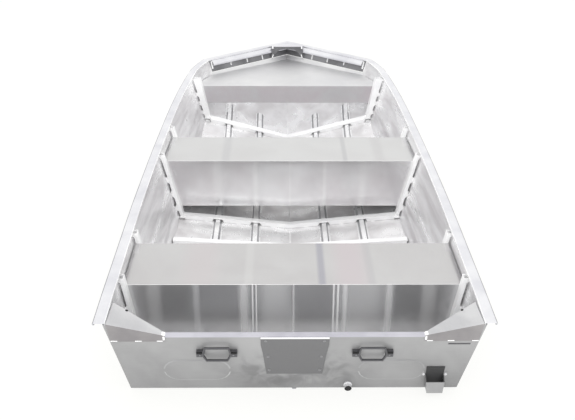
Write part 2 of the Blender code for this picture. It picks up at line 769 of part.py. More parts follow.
def make_motor_plates() -> None:
    """Dark clamp plates outside and inside the middle of the transom, below the cap's flanges."""
    _, board_front = core_faces()
    flange_foot = CAP_HEIGHT - CAP_FLANGE - GAP * 2
    for name, outwards in (("outer", GAP + MOTOR_PLATE_THICKNESS / 2),
                           ("inner", -board_front - GAP - MOTOR_PLATE_THICKNESS / 2)):
        frame = transom_frame(outwards)
        highest = outwards - MOTOR_PLATE_THICKNESS / 2
        top = (flange_foot + highest * math.sin(TRANSOM_RAKE)) / math.cos(TRANSOM_RAKE)
        mesh = flat_mesh(f"motor_plate_{name}", [motor_plate_outline(top)], MOTOR_PLATE_THICKNESS)
        place(f"motor_plate_{name}", mesh, "painted", frame)


def block_mesh(name: str, centre: tuple[float, ...], size: tuple[float, ...]) -> bpy.types.Mesh:
    """A rectangular block."""
    made = bmesh.new()
    bmesh.ops.create_cube(made, size=1.0, matrix=Matrix.Translation(centre) @ Matrix.Diagonal((*size, 1.0)))
    mesh = bpy.data.meshes.new(name)
    made.to_mesh(mesh)
    made.free()
    return mesh


def make_handles() -> None:
    """Fixed grab handles: a six-sided bar with a bolted tab at each end."""
    cosine = math.cos(TRANSOM_RAKE)
    for hand, side in ((-1, "left"), (1, "right")):
        frame = transom_frame(0.0) @ Matrix.Translation(
            (hand * HANDLE_AT[0], HANDLE_AT[1] / cosine, 0.0))
        loop = [Vector((x, y, HANDLE_STANDOFF)) for x, y in (
            (HANDLE_HALF_LOOP, 0.0), (HANDLE_HALF_TOP, HANDLE_HALF_HEIGHT),
            (-HANDLE_HALF_TOP, HANDLE_HALF_HEIGHT), (-HANDLE_HALF_LOOP, 0.0),
            (-HANDLE_HALF_FOOT, -HANDLE_HALF_HEIGHT), (HANDLE_HALF_FOOT, -HANDLE_HALF_HEIGHT))]
        mesh = bar_mesh("handle", loop, HANDLE_BAR_RADIUS, True)
        handle = place(f"grab_handle_{side}", mesh, "cast", frame)
        for end in (-1, 1):
            height = HANDLE_STANDOFF + HANDLE_BAR_RADIUS / 2 - GAP
            centre = (end * (HANDLE_HALF_LOOP + TAB_WIDTH / 2 - TAB_OVERLAP), 0.0, GAP + height / 2)
            tab = block_mesh("tab", centre, (TAB_WIDTH, TAB_HEIGHT, height))
            combine(handle, place(f"tab_{side}_{end}", tab, "cast", frame), "UNION")


def make_drain() -> None:
    """The drain's turned fitting on the transom."""
    rings = [[Vector((x, y, outwards)) for x, y in circle((0.0, 0.0), radius)]
             for radius, outwards in DRAIN_SECTION]
    frame = transom_frame(GAP) @ Matrix.Translation((DRAIN_AT[0], DRAIN_AT[1] / math.cos(TRANSOM_RAKE), 0.0))
    place("drain_flange", ringed_mesh("drain_flange", rings, hollow=True), "cast", frame)


def make_bracket() -> None:
    """An open box on a back plate, low on the transom, for a depth sensor."""
    back = -BRACKET_SHEET - GAP
    front_y = stern_plane(BRACKET_FOOT) - BRACKET_DEPTH
    rows = []
    for hand, in_front in ((-1, False), (-1, True), (1, True), (1, False)):
        top = BRACKET_FRONT_TOP if in_front else BRACKET_REAR_TOP
        row = []
        for half, z in ((BRACKET_FOOT_HALF, BRACKET_FOOT), (BRACKET_TOP_HALF, top)):
            y = front_y if in_front else stern_plane(z, back - GAP)
            row.append(Vector((BRACKET_AT + hand * half, y, z)))
        rows.append(row)
    box = sheet("sensor_bracket", rows, BRACKET_SHEET, "bare", 1.0)
    cosine = math.cos(TRANSOM_RAKE)
    outline = [(BRACKET_AT + x, z / cosine) for x, z in (
        (-BRACKET_FOOT_HALF, BRACKET_FOOT), (BRACKET_FOOT_HALF, BRACKET_FOOT),
        (BRACKET_TOP_HALF, BRACKET_BACK_TOP), (-BRACKET_TOP_HALF, BRACKET_BACK_TOP))]
    plate = flat_mesh("bracket_back", [outline], BRACKET_SHEET + GAP * 2)
    tool = place("bracket_back", plate, "bare", transom_frame(GAP + BRACKET_SHEET / 2 + GAP))
    combine(box, tool, "UNION")


def frame_slots() -> list[tuple[float, float]]:
    """Share up a frame and relief of its edges: weld points with open slots between them."""
    rows = [(0.0, 0.0)]
    for start, end in FRAME_SLOTS:
        rows += [(start, 0.0), (start + FRAME_SLOT_RAMP, FRAME_SLOT_DEPTH),
                 (end - FRAME_SLOT_RAMP, FRAME_SLOT_DEPTH), (end, 0.0)]
    return [*rows, (1.0, 0.0)]


def frame_span(at: float, side: int) -> tuple[float, float]:
    """Aft and forward edges of a frame that backs a bench edge on one side."""
    near = at + side * GAP
    far = near + side * FRAME_WIDTH
    return min(near, far), max(near, far)


def make_side_frames() -> None:
    """Channels from the chine to the rail, standing on the side by their slotted edges."""
    for number, (at, side, foot_depth, top_depth) in enumerate(FRAMES, start=1):
        aft, forward = frame_span(at, side)
        chine_z = max(floor_z(line_at("chine", y).x, y, HULL_SHEET + SEAT) for y in (aft, forward))
        low = chine_z + FRAME_FOOT_CLEARANCE
        high = line_at("sheer", aft).z - RAIL_LIP - GAP * 3
        rows = []
        for share, relief in frame_slots():
            z = low + (high - low) * share
            edge = HULL_SHEET + SEAT + relief
            face = HULL_SHEET + foot_depth + (top_depth - foot_depth) * share
            rows.append([Vector((side_x(y, z, inset), y, z)) for y, inset in (
                (forward, edge), (forward, face), (aft, face), (aft, edge))])
        both_hands(f"side_frame_{number}", rows, FRAME_SHEET, "rail")
        widening = (top_depth - foot_depth) * RIB_DEPTH / (high - low)
        make_rib(number, aft, forward, HULL_SHEET + foot_depth + widening + RIB_END_GAP)


def rib_stops(half: float) -> list[tuple[float, bool]]:
    """Places along a rib's starboard half, and whether the foot is lifted over a stringer."""
    stops = [(0.0, False)]
    for centre in STRINGER_OFFSETS:
        near = centre - STRINGER_BRIM_HALF - RIB_NOTCH_MARGIN
        far = centre + STRINGER_BRIM_HALF + RIB_NOTCH_MARGIN
        stops += [(near, False), (near + RIB_NOTCH_SLOPE, True), (far - RIB_NOTCH_SLOPE, True), (far, False)]
    return [*stops, (half, False)]


def make_rib(number: int, aft: float, forward: float, end_inset: float) -> None:
    """A floor rib: a channel that follows the V, notched over the stringers, with leaning ends."""
    half = min(side_x(y, line_at("chine", y).z, end_inset) for y in (aft, forward))
    rows = []
    for x, lifted in rib_stops(half):
        foot = SEAT + (STRINGER_DEPTH + STRINGER_SHEET + RIB_NOTCH_CLEARANCE if lifted else 0.0)
        low, high = [floor_z(x, y, HULL_SHEET) for y in (aft + FRAME_SHEET, forward)]
        rows.append([Vector((x, forward, high + foot)), Vector((x, forward, high + RIB_DEPTH)),
                     Vector((x, aft, low + RIB_DEPTH)), Vector((x, aft, low + foot))])
    for corner in rows[-1]:
        corner.x = side_x(corner.y, corner.z, end_inset)
    mirrored_sheet(f"floor_rib_{number}", rows, FRAME_SHEET, "rail")


def make_open_rib() -> None:
    """The one rib with no side frames, in the open floor between the benches."""
    aft = OPEN_RIB_AT - FRAME_WIDTH / 2
    make_rib(len(FRAMES) + 1, aft, aft + FRAME_WIDTH, HULL_SHEET + OPEN_RIB_END_GAP)


def make_stringers() -> None:
    """Hat sections along the bottom, under the ribs' notches."""
    for centre, label in zip(STRINGER_OFFSETS, ("inner", "outer")):
        hat = [(centre - STRINGER_BRIM_HALF, 0.0), (centre - STRINGER_FOOT_HALF, 0.0),
               (centre - STRINGER_TOP_HALF, STRINGER_DEPTH), (centre + STRINGER_TOP_HALF, STRINGER_DEPTH),
               (centre + STRINGER_FOOT_HALF, 0.0), (centre + STRINGER_BRIM_HALF, 0.0)]
        rows = []
        for y in floor_run(centre, STRINGER_FROM, STRINGER_TO):
            rows.append([Vector((x, y, floor_z(x, y, HULL_SHEET + SEAT) + up)) for x, up in hat])
        both_hands(f"stringer_{label}", rows, STRINGER_SHEET, "bare", 1.0)


def bench_rows(aft: float, forward: float, height: float, foot: float, end_gap: float) -> list[list[Vector]]:
    """An inverted channel across the boat, its ends cut to the lean of the sides."""
    profile = [(forward - BENCH_HEM, climbing(foot, forward)), (forward, climbing(foot, forward)),
               (forward, climbing(height, forward)), (aft, climbing(height, aft)),
               (aft, climbing(foot, aft)), (aft + BENCH_HEM, climbing(foot, aft))]
    rows = []
    for hand in (-1, 1):
        rows.append([Vector((hand * side_x(y, z, HULL_SHEET + end_gap), y, z)) for y, z in profile])
    return rows


def make_benches() -> None:
    """The rear and middle bench seats, each one formed sheet with returned feet."""
    for name, at in (("rear_bench", REAR_BENCH_AT), ("middle_bench", MIDDLE_BENCH_AT)):
        rows = bench_rows(at, at + BENCH_DEPTH, BENCH_HEIGHT, BENCH_FOOT, BENCH_END_GAP)
        sheet(name, rows, BENCH_SHEET, "bright")


def meeting(start: float, end: float, below: Callable[[float], bool]) -> float:
    """The Y where a test stops being true, found between a start and an end."""
    for _ in range(BISECTIONS):
        middle = (start + end) / 2
        if below(middle):
            start = middle
        else:
            end = middle
    return start


def make_bow_deck() -> None:
    """The bow deck: a top that runs forward to the rising bottom, with a skirt at its aft edge."""
    last = STATIONS[-1]
    clear = HULL_SHEET + SEAT * 3
    under = BENCH_SHEET * 2 + SEAT
    corner_y = meeting(DECK_AT, last.chine.y, lambda y: line_at("chine", y).z + clear < (
        climbing(DECK_HEIGHT, y) - under))
    skirt_low = climbing(DECK_FOOT, DECK_AT)
    edges = [(y, z, side_x(y, z, HULL_SHEET + DECK_SIDE_GAP)) for y, z in (
        (corner_y, climbing(DECK_HEIGHT, corner_y)),
        ((DECK_AT + corner_y) / 2, climbing(DECK_HEIGHT, (DECK_AT + corner_y) / 2)),
        (DECK_AT, climbing(DECK_HEIGHT, DECK_AT)), (DECK_AT, skirt_low), (DECK_AT + BENCH_HEM, skirt_low))]
    rows = []
    for column in range(DECK_COLUMNS + 1):
        across = 2 * column / DECK_COLUMNS - 1
        x = edges[0][2] * across
        nose_y = last.keel.y + (last.chine.y - last.keel.y) * abs(x) / last.chine.x
        front_y = meeting(corner_y, nose_y, lambda y: floor_z(x, y, clear) < climbing(DECK_HEIGHT, y) - under)
        front = Vector((x, front_y, climbing(DECK_HEIGHT, front_y)))
        rows.append([front, *(Vector((half * across, y, z)) for y, z, half in edges)])
    sheet("bow_deck", rows, BENCH_SHEET, "bright")


def make_bow_angle() -> None:
    """The rounded angle welded inside the nose under the bow cap."""
    rows = nose_rows(BOW_ANGLE_SECTION, BOW_ANGLE_FROM_CORNER)
    mirrored_sheet("bow_angle", rows, FRAME_SHEET, "rail", 1.0)


def make_breasthook() -> None:
    """The hand-hold in the nose: a level plate whose aft edge turns down into an arch."""
    corner = STATIONS[-1].sheer
    run = NOSE_APEX - corner
    nose_normal = plan_normal(corner, NOSE_APEX)
    sweep = run.y / abs(run.x)
    top = NOSE_APEX.z - HOLD_DROP
    inner = (BOW_ANGLE_REACH + FRAME_SHEET + SEAT) / nose_normal.y + FRAME_SHEET
    flange_y = NOSE_APEX.y - sweep * HOLD_HALF - inner
    rows = []
    for step in range(HOLD_STEPS + 1):
        share = step / HOLD_STEPS
        x = HOLD_HALF * share
        front = NOSE_APEX.y - sweep * x - (RAIL_INNER + SEAT) / nose_normal.y
        foot = top - HOLD_LIP - (HOLD_LEG - HOLD_LIP) * share ** HOLD_ARCH_POWER
        rows.append([Vector((x, front, top)), Vector((x, flange_y, top)), Vector((x, flange_y, foot))])
    mirrored_sheet("breasthook", rows, FRAME_SHEET, "rail")


def make_runners() -> None:
    """The keel strip in two lengths and the two runners that the boat rests on."""
    runners = (("keel_runner", 0.0, KEEL_FROM, KEEL_JOINT),
               ("stem_strip", 0.0, KEEL_JOINT + GAP, KEEL_TO),
               ("runner_right", RUNNER_OFFSET, RUNNER_FROM, RUNNER_TO),
               ("runner_left", -RUNNER_OFFSET, RUNNER_FROM, RUNNER_TO))
    sole = RUNNER_HALF * RUNNER_SOLE_SHARE
    head = -SEAT - GAP
    profile = [(-RUNNER_HALF, head), (RUNNER_HALF, head), (sole, -RUNNER_DEPTH), (-sole, -RUNNER_DEPTH)]
    for name, centre, start, end in runners:
        rings = []
        for y in floor_run(centre, start, end):
            level = floor_z(max(abs(centre) - RUNNER_HALF, 0.0), y)
            rings.append([Vector((centre + x, y, level + up)) for x, up in profile])
        place(name, ringed_mesh(name, rings), "bare")


def make_transom_brace() -> None:
    """The upright knee from the floor to the transom board on the centre line."""
    _, board_front = core_faces()
    front = board_front + GAP
    low = floor_z(0.0, BRACE_REACH, HULL_SHEET + SEAT)
    toe = stern_plane(low, front) + BRACE_REACH
    head = stern_plane(BRACE_TOP, front)
    profile = [(stern_plane(CORE_FOOT, front), CORE_FOOT), (stern_plane(CORE_FOOT, front), low),
               (toe, low), (toe, low + BRACE_TOE), (head + BRACE_HEAD, BRACE_TOP), (head, BRACE_TOP)]
    prism_x("transom_brace", profile, -BRACE_HALF, BRACE_HALF, "rail")


def make_bow_eye() -> None:
    """The towing eye on the stem: a bent bar through a pad."""
    low = floor_z(0.0, BOW_EYE_AT)
    behind = floor_z(0.0, BOW_EYE_AT - BOW_EYE_SPAN)
    slope = math.atan2(low - behind, BOW_EYE_SPAN)
    along = Vector((0.0, math.cos(slope), math.sin(slope)))
    out = Vector((0.0, math.sin(slope), -math.cos(slope)))
    base = Vector((0.0, BOW_EYE_AT, low)) + out * SEAT
    side = Vector((1.0, 0.0, 0.0))
    frame = Matrix.Translation(base) @ Matrix((side, along, side.cross(along))).transposed().to_4x4()
    pad = block_mesh("bow_eye", (0.0, 0.0, -BOW_EYE_PAD[2] / 2), BOW_EYE_PAD)
    eye = place("bow_eye", pad, "cast", frame)
    bend = [Vector((0.0, -BOW_EYE_HALF, -BOW_EYE_ROOT))]
    bend += [Vector((0.0, y_of, -z_of)) for y_of, z_of in
             arc((0.0, BOW_EYE_REACH - BOW_EYE_HALF), BOW_EYE_HALF, 180, 0, END_STEPS)]
    bend += [Vector((0.0, BOW_EYE_HALF, -BOW_EYE_ROOT))]
    ring = place("bow_eye_bar", bar_mesh("bow_eye_bar", bend, BOW_EYE_RADIUS, False), "cast", frame)
    combine(eye, ring, "UNION")


def carry_all() -> None:
    """Parent every piece to one empty, with the origin on the floor under the boat's middle."""
    stern_tip = stern_plane(STATIONS[0].sheer.z, -RAIL_OVERHANG)
    nose_normal = plan_normal(STATIONS[-1].sheer, NOSE_APEX)
    bow_tip = NOSE_APEX.y + RAIL_OUTER / nose_normal.y
    carrier = bpy.data.objects.new("hull_origin", None)
    carrier.location = (0.0, -(stern_tip + bow_tip) / 2, RUNNER_DEPTH)
    BOAT.objects.link(carrier)
    for piece in [*BOAT.objects, *CUTTERS.objects]:
        if piece is not carrier:
            piece.parent = carrier


BUILDERS: tuple[Callable[[], None], ...] = (
    make_bottom, make_sides, make_rails, make_bow_header, make_bow_cap, make_bow_angle,
    make_breasthook, make_transom, make_transom_core, make_transom_cap, make_corner_knees,
    make_motor_plates, make_transom_brace, make_handles, make_drain, make_bracket,
    make_side_frames, make_open_rib, make_stringers, make_benches, make_bow_deck, make_runners,
    make_bow_eye)


def main() -> None:
    """Clear the scene and build the boat."""
    for old in list(bpy.data.objects):
        bpy.data.objects.remove(old)
    bpy.context.scene.collection.children.link(BOAT)
    bpy.context.scene.collection.children.link(CUTTERS)
    for build in BUILDERS:
        build()
    carry_all()


main()
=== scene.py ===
"""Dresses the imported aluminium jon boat: rolled sheets, weld beads, fasteners and a plain white studio.

Every place is in the row frame: metres, +X to starboard, +Y towards the bow, +Z up.
"""

import functools
import logging
import math
from dataclasses import dataclass
from enum import Enum
from typing import Callable, Sequence

import bmesh
import bpy
from bmesh.types import BMesh
from bpy.types import Material, MeshPolygon, Node, NodeTree, Object
from mathutils import Matrix, Vector
from mathutils.bvhtree import BVHTree


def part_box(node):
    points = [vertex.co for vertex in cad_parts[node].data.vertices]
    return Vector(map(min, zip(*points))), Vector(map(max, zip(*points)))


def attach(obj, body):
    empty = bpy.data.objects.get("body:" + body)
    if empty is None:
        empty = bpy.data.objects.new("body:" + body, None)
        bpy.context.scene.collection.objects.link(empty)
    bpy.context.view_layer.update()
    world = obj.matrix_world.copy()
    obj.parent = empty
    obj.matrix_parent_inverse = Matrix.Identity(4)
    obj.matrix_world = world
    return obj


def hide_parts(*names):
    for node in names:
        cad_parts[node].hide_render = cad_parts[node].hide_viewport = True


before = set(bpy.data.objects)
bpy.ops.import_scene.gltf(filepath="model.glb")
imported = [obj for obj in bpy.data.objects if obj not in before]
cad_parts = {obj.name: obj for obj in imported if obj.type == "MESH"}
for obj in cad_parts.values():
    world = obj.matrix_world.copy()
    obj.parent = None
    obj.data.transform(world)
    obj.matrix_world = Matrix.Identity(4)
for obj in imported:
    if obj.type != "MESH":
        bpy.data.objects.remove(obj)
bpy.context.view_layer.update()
LOG = logging.getLogger("jon_boat")
MM = 0.001
HANDS = ((-1, "left"), (1, "right"))
SIDES = tuple(f"hull_side_{part}_{side}" for part in ("aft", "middle", "fore") for _, side in HANDS)
SIDE_FRAMES = [(hand, f"side_frame_{number}_{side}") for number in range(1, 6) for hand, side in HANDS]
RIBS = [f"floor_rib_{number}" for number in range(1, 7)]
SURFACES: dict[str, BVHTree] = {}
DOWN = (0, 0, -1)
OVERHEAD = 0.6  # height from which lines drop on the boat's inside
CREASE, SMOOTH = 32.0, 60.0  # degrees above which an edge stays sharp, on sheet and on beads
MERGE, FLAT = 0.01 * MM, math.radians(0.2)  # what counts as one point and as one plane
OUTSIDE_Z = -0.6  # a hull sheet's outer face looks away from the middle and this much downwards

# How much of a face's normal points some way when the face is square to it, faces it or leans that way
SQUARE, FACING, LEANING = 0.9, 0.5, 0.3

# A weld ripple's half-length per spacing, and its depth in the metal per height above it
OVERLAP, SUNK = 0.8, 0.12
# A fastener's washer, the top of its head and the rim round its recess, as shares of the head's radius
WASHER_FOOT, WASHER_TOP, CROWN, RIM = 1.4, 1.35, 0.82, 0.42
# Its washer's thickness and its recess's depth, as shares of its height
WASHER_RISE, RECESS = 0.25, 0.4

# Names of a range node's limits, and the noise values between which each pattern grows to full
RANGE = ("From Min", "From Max", "To Min", "To Max")
CLOUDS, RUBBED, SPECKS = (0.36, 0.66), (0.40, 0.62), (0.42, 0.72)
GRAIN_NOISE = {"Scale": 1.0, "Detail": 3.0, "Roughness": 0.6}
CLOUD_NOISE = {"Scale": 1.0, "Detail": 4.0, "Distortion": 0.4}
RUB_NOISE = {"Scale": 14.0, "Detail": 3.0, "Distortion": 0.8}
# Width of the grain, how much longer than wide it is, and its height. The real grain is about 0.1 mm
# wide, and it is drawn coarser to show
GRAIN_MM, GRAIN_STRETCH, GRAIN_HEIGHT_MM = 3.0, 25.0, 0.01
# Length of a sheet's waves
WAVE_MM = 220.0
# How much the grain adds to the clouds, and how much of both stays clean
GRAIN_SHARE, CLEAN_SHARE = 0.45, 0.22
# Even middle of a smudge and of a streak as shares of their reach, and the roughness that speckle adds
SMUDGE_CORE, STREAK_CORE, SPECK_HAZE = 0.35, 0.2, 0.15


def linear(colour: str) -> tuple[float, float, float, float]:
    """Turns an sRGB hex colour into Blender's linear colour.

    Args:
        colour: Six hex digits after a hash sign.

    Returns:
        Linear red, green and blue, and full alpha.
    """
    channels = [int(colour[i:i + 2], 16) / 255 for i in (1, 3, 5)]
    red, green, blue = (c / 12.92 if c <= 0.04045 else ((c + 0.055) / 1.055) ** 2.4 for c in channels)
    return red, green, blue, 1.0


def connect(tree: NodeTree, node: Node, links: dict) -> None:
    """Feeds a node's inputs.

    Args:
        tree: Node tree of the node.
        node: The node.
        links: A socket, or a node for its first output, by the input that it feeds.
    """
    for socket, source in links.items():
        output = source.outputs[0] if isinstance(source, Node) else source
        tree.links.new(output, node.inputs[socket])


def add_node(tree: NodeTree, kind: str, values: dict | None = None, links: dict | None = None,
             **settings: object) -> Node:
    """Adds one node to a tree with its settings, socket values and links.

    Args:
        tree: Node tree that gets the node.
        kind: Blender's name for the node's type.
        values: Default values by input name or number.
        links: A socket, or a node for its first output, by the input that it feeds.
        **settings: The node's own properties.

    Returns:
        The new node.
    """
    node = tree.nodes.new(kind)
    for name, value in settings.items():
        setattr(node, name, value)
    for socket, value in (values or {}).items():
        node.inputs[socket].default_value = value
    connect(tree, node, links or {})
    return node


class Grain(Enum):
    """Axis that a sheet's rolling marks or an extrusion's drawing marks follow."""

    ACROSS = 0
    ALONG = 1
    UPRIGHT = 2


ACROSS, ALONG, UPRIGHT = Grain


@dataclass(frozen=True)
class Aluminium:
    """Bare rolled or extruded aluminium: drawn-out grain, cloudy oxide and a sheet's slight waves.

    Attributes:
        name: Name of the material.
        clean: Colour of the cleanest metal.
        dull: Colour where the oxide is thickest.
        roughness: Roughness of the clean metal.
        metallic: Share of bare metal. The rest is matt oxide, which keeps deep corners bright.
        haze: Roughness that the thickest oxide adds.
        grain: Axis that the grain follows.
        wave_height_mm: Height of the sheet's waves.
        cloud_mm: Size of the oxide's clouds.
        cloud_share: How strongly the clouds and the grain change the colour.
        cloud_stretch: How much longer than wide the clouds are, along the grain.
        streaks: X, half-width, share and colour of each soft lengthwise streak. On the bench uprights they
            are painted reflections and highlights.
        streak_matt: Share of bare metal that a streak loses, so that a painted reflection streak catches the
            light as matt white.
        foot_z: Height below which the sheet gets steadily duller, none for an even sheet.
        foot_share: Share of the dull colour at the foot.
        smudge_at: Middle of a rubbed and fingered area, none for a clean sheet.
        smudge_size: Its half sizes.
        smudge_share: Share of the dull colour in it.
    """

    name: str
    clean: str
    dull: str
    roughness: float
    metallic: float
    haze: float
    grain: Grain
    wave_height_mm: float = 0.25
    cloud_mm: float = 160.0
    cloud_share: float = 1.0
    cloud_stretch: float = 1.0
    streaks: tuple[tuple[float, float, float, str], ...] = ()
    streak_matt: float = 0.0
    foot_z: float = 0.0
    foot_share: float = 0.0
    smudge_at: tuple[float, float, float] | None = None
    smudge_size: tuple[float, float, float] = (0.3, 0.3, 0.1)
    smudge_share: float = 0.4

    def material(self) -> Material:
        """Builds the material, or returns the one already built.

        Returns:
            The material.
        """
        found = bpy.data.materials.get(self.name)
        if found:
            return found
        made = bpy.data.materials.new(self.name)
        made.use_nodes = True
        tree = made.node_tree
        add = functools.partial(add_node, tree)
        shader = tree.nodes["Principled BSDF"]
        shader.inputs["Metallic"].default_value = self.metallic
        place = add("ShaderNodeTexCoord").outputs["Object"]
        patterns = []
        for size_mm, stretch, noise in ((GRAIN_MM, GRAIN_STRETCH, GRAIN_NOISE),
                                        (self.cloud_mm, self.cloud_stretch, CLOUD_NOISE)):
            scales = [1 / (size_mm * MM)] * 3
            scales[self.grain.value] /= stretch
            drawn = add("ShaderNodeMapping", {"Scale": scales}, {"Vector": place})
            patterns.append(add("ShaderNodeTexNoise", noise, {"Vector": drawn}))
        grain, cloud = patterns
        wave = add("ShaderNodeTexNoise", {"Scale": 1 / (WAVE_MM * MM), "Detail": 1.0},
                   {"Vector": place})
        patches = add("ShaderNodeMapRange", dict(zip(RANGE, CLOUDS)), {"Value": cloud})
        oxide = add("ShaderNodeMath", {1: GRAIN_SHARE}, {0: grain, 2: patches}, operation="MULTIPLY_ADD")
        share = add("ShaderNodeMath", {1: CLEAN_SHARE}, {0: oxide}, operation="SUBTRACT", use_clamp=True)
        share = add("ShaderNodeMath", {1: self.cloud_share}, {0: share}, operation="MULTIPLY")
        across, _, up = add("ShaderNodeSeparateXYZ", links={0: place}).outputs
        # The sheet gets darker and duller towards its foot, below foot_z
        if self.foot_z:
            foot_darkening = add("ShaderNodeMapRange",
                        dict(zip(RANGE, (0.0, self.foot_z, self.foot_share, 0.0))), {"Value": up})
            share = add("ShaderNodeMath", links={0: share, 1: foot_darkening}, operation="ADD", use_clamp=True)
        if self.smudge_at:
            centred = add("ShaderNodeMapping",
                          {"Location": self.smudge_at, "Scale": self.smudge_size},
                          {"Vector": place}, vector_type="TEXTURE")
            reach = add("ShaderNodeVectorMath", links={0: centred}, operation="LENGTH")
            near = add("ShaderNodeMapRange", dict(zip(RANGE, (SMUDGE_CORE, 1.0, 1.0, 0.0))),
                       {"Value": reach.outputs["Value"]}, interpolation_type="SMOOTHSTEP")
            rubbed = add("ShaderNodeTexNoise", RUB_NOISE, {"Vector": place})
            marks = add("ShaderNodeMapRange", dict(zip(RANGE, RUBBED)), {"Value": rubbed})
            smudge = add("ShaderNodeMath", links={0: near, 1: marks}, operation="MULTIPLY")
            share = add("ShaderNodeMath", {1: self.smudge_share}, {0: smudge, 2: share},
                        operation="MULTIPLY_ADD", use_clamp=True)
        colour = add("ShaderNodeMix", {6: linear(self.clean), 7: linear(self.dull)},
                     {0: share}, data_type="RGBA").outputs[2]
        bare = None
        # Soft lengthwise streaks; on the bench uprights they are painted reflections and highlights, and may
        # lose bare metal to show matt white
        for middle, half, depth, tint in self.streaks:
            off = add("ShaderNodeMath", {1: middle}, {0: across}, operation="SUBTRACT")
            reach = add("ShaderNodeMath", links={0: off}, operation="ABSOLUTE")
            near = add("ShaderNodeMapRange",
                       dict(zip(RANGE, (half * STREAK_CORE, half, depth, 0.0))),
                       {"Value": reach}, interpolation_type="SMOOTHSTEP")
            colour = add("ShaderNodeMix", {7: linear(tint)}, {0: near, 6: colour},
                         data_type="RGBA").outputs[2]
            if self.streak_matt:
                bare = add("ShaderNodeMath", {1: -self.streak_matt, 2: self.metallic},
                           {0: near, **({2: bare} if bare else {})}, operation="MULTIPLY_ADD")
        rough = add("ShaderNodeMath", {1: self.haze, 2: self.roughness}, {0: share},
                    operation="MULTIPLY_ADD")
        waved = add("ShaderNodeBump", {"Distance": self.wave_height_mm * MM}, {"Height": wave})
        grained = add("ShaderNodeBump", {"Distance": GRAIN_HEIGHT_MM * MM},
                      {"Height": grain, "Normal": waved})
        connect(tree, shader, {"Base Color": colour, "Roughness": rough, "Normal": grained})
        if bare:
            connect(tree, shader, {"Metallic": bare})
        return made


@dataclass(frozen=True)
class SpeckledCoat:
    """A paint, rubber or cast surface: one even colour broken by fine speckle and a grainy bump.

    Attributes:
        name: Name of the material.
        colour: Main colour.
        worn: Colour of the speckle.
        roughness: Roughness of the main colour.
        metallic: Share of bare metal, none for paint or rubber.
        speck_mm: Size of the speckle.
        bump_mm: Height of the bump.
    """

    name: str
    colour: str
    worn: str
    roughness: float
    metallic: float
    speck_mm: float
    bump_mm: float

    def material(self) -> Material:
        """Builds the material, or returns the one already built.

        Returns:
            The material.
        """
        found = bpy.data.materials.get(self.name)
        if found:
            return found
        made = bpy.data.materials.new(self.name)
        made.use_nodes = True
        tree = made.node_tree
        add = functools.partial(add_node, tree)
        shader = tree.nodes["Principled BSDF"]
        shader.inputs["Metallic"].default_value = self.metallic
        place = add("ShaderNodeTexCoord").outputs["Object"]
        speck = add("ShaderNodeTexNoise", {"Scale": 1 / (self.speck_mm * MM), "Detail": 2.0},
                    {"Vector": place})
        spread = add("ShaderNodeMapRange", dict(zip(RANGE, SPECKS)), {"Value": speck})
        colour = add("ShaderNodeMix", {6: linear(self.colour), 7: linear(self.worn)},
                     {0: spread}, data_type="RGBA").outputs[2]
        rough = add("ShaderNodeMath", {1: SPECK_HAZE, 2: self.roughness}, {0: spread},
                    operation="MULTIPLY_ADD")
        bump = add("ShaderNodeBump", {"Distance": self.bump_mm * MM}, {"Height": speck})
        connect(tree, shader, {"Base Color": colour, "Roughness": rough, "Normal": bump})
        return made


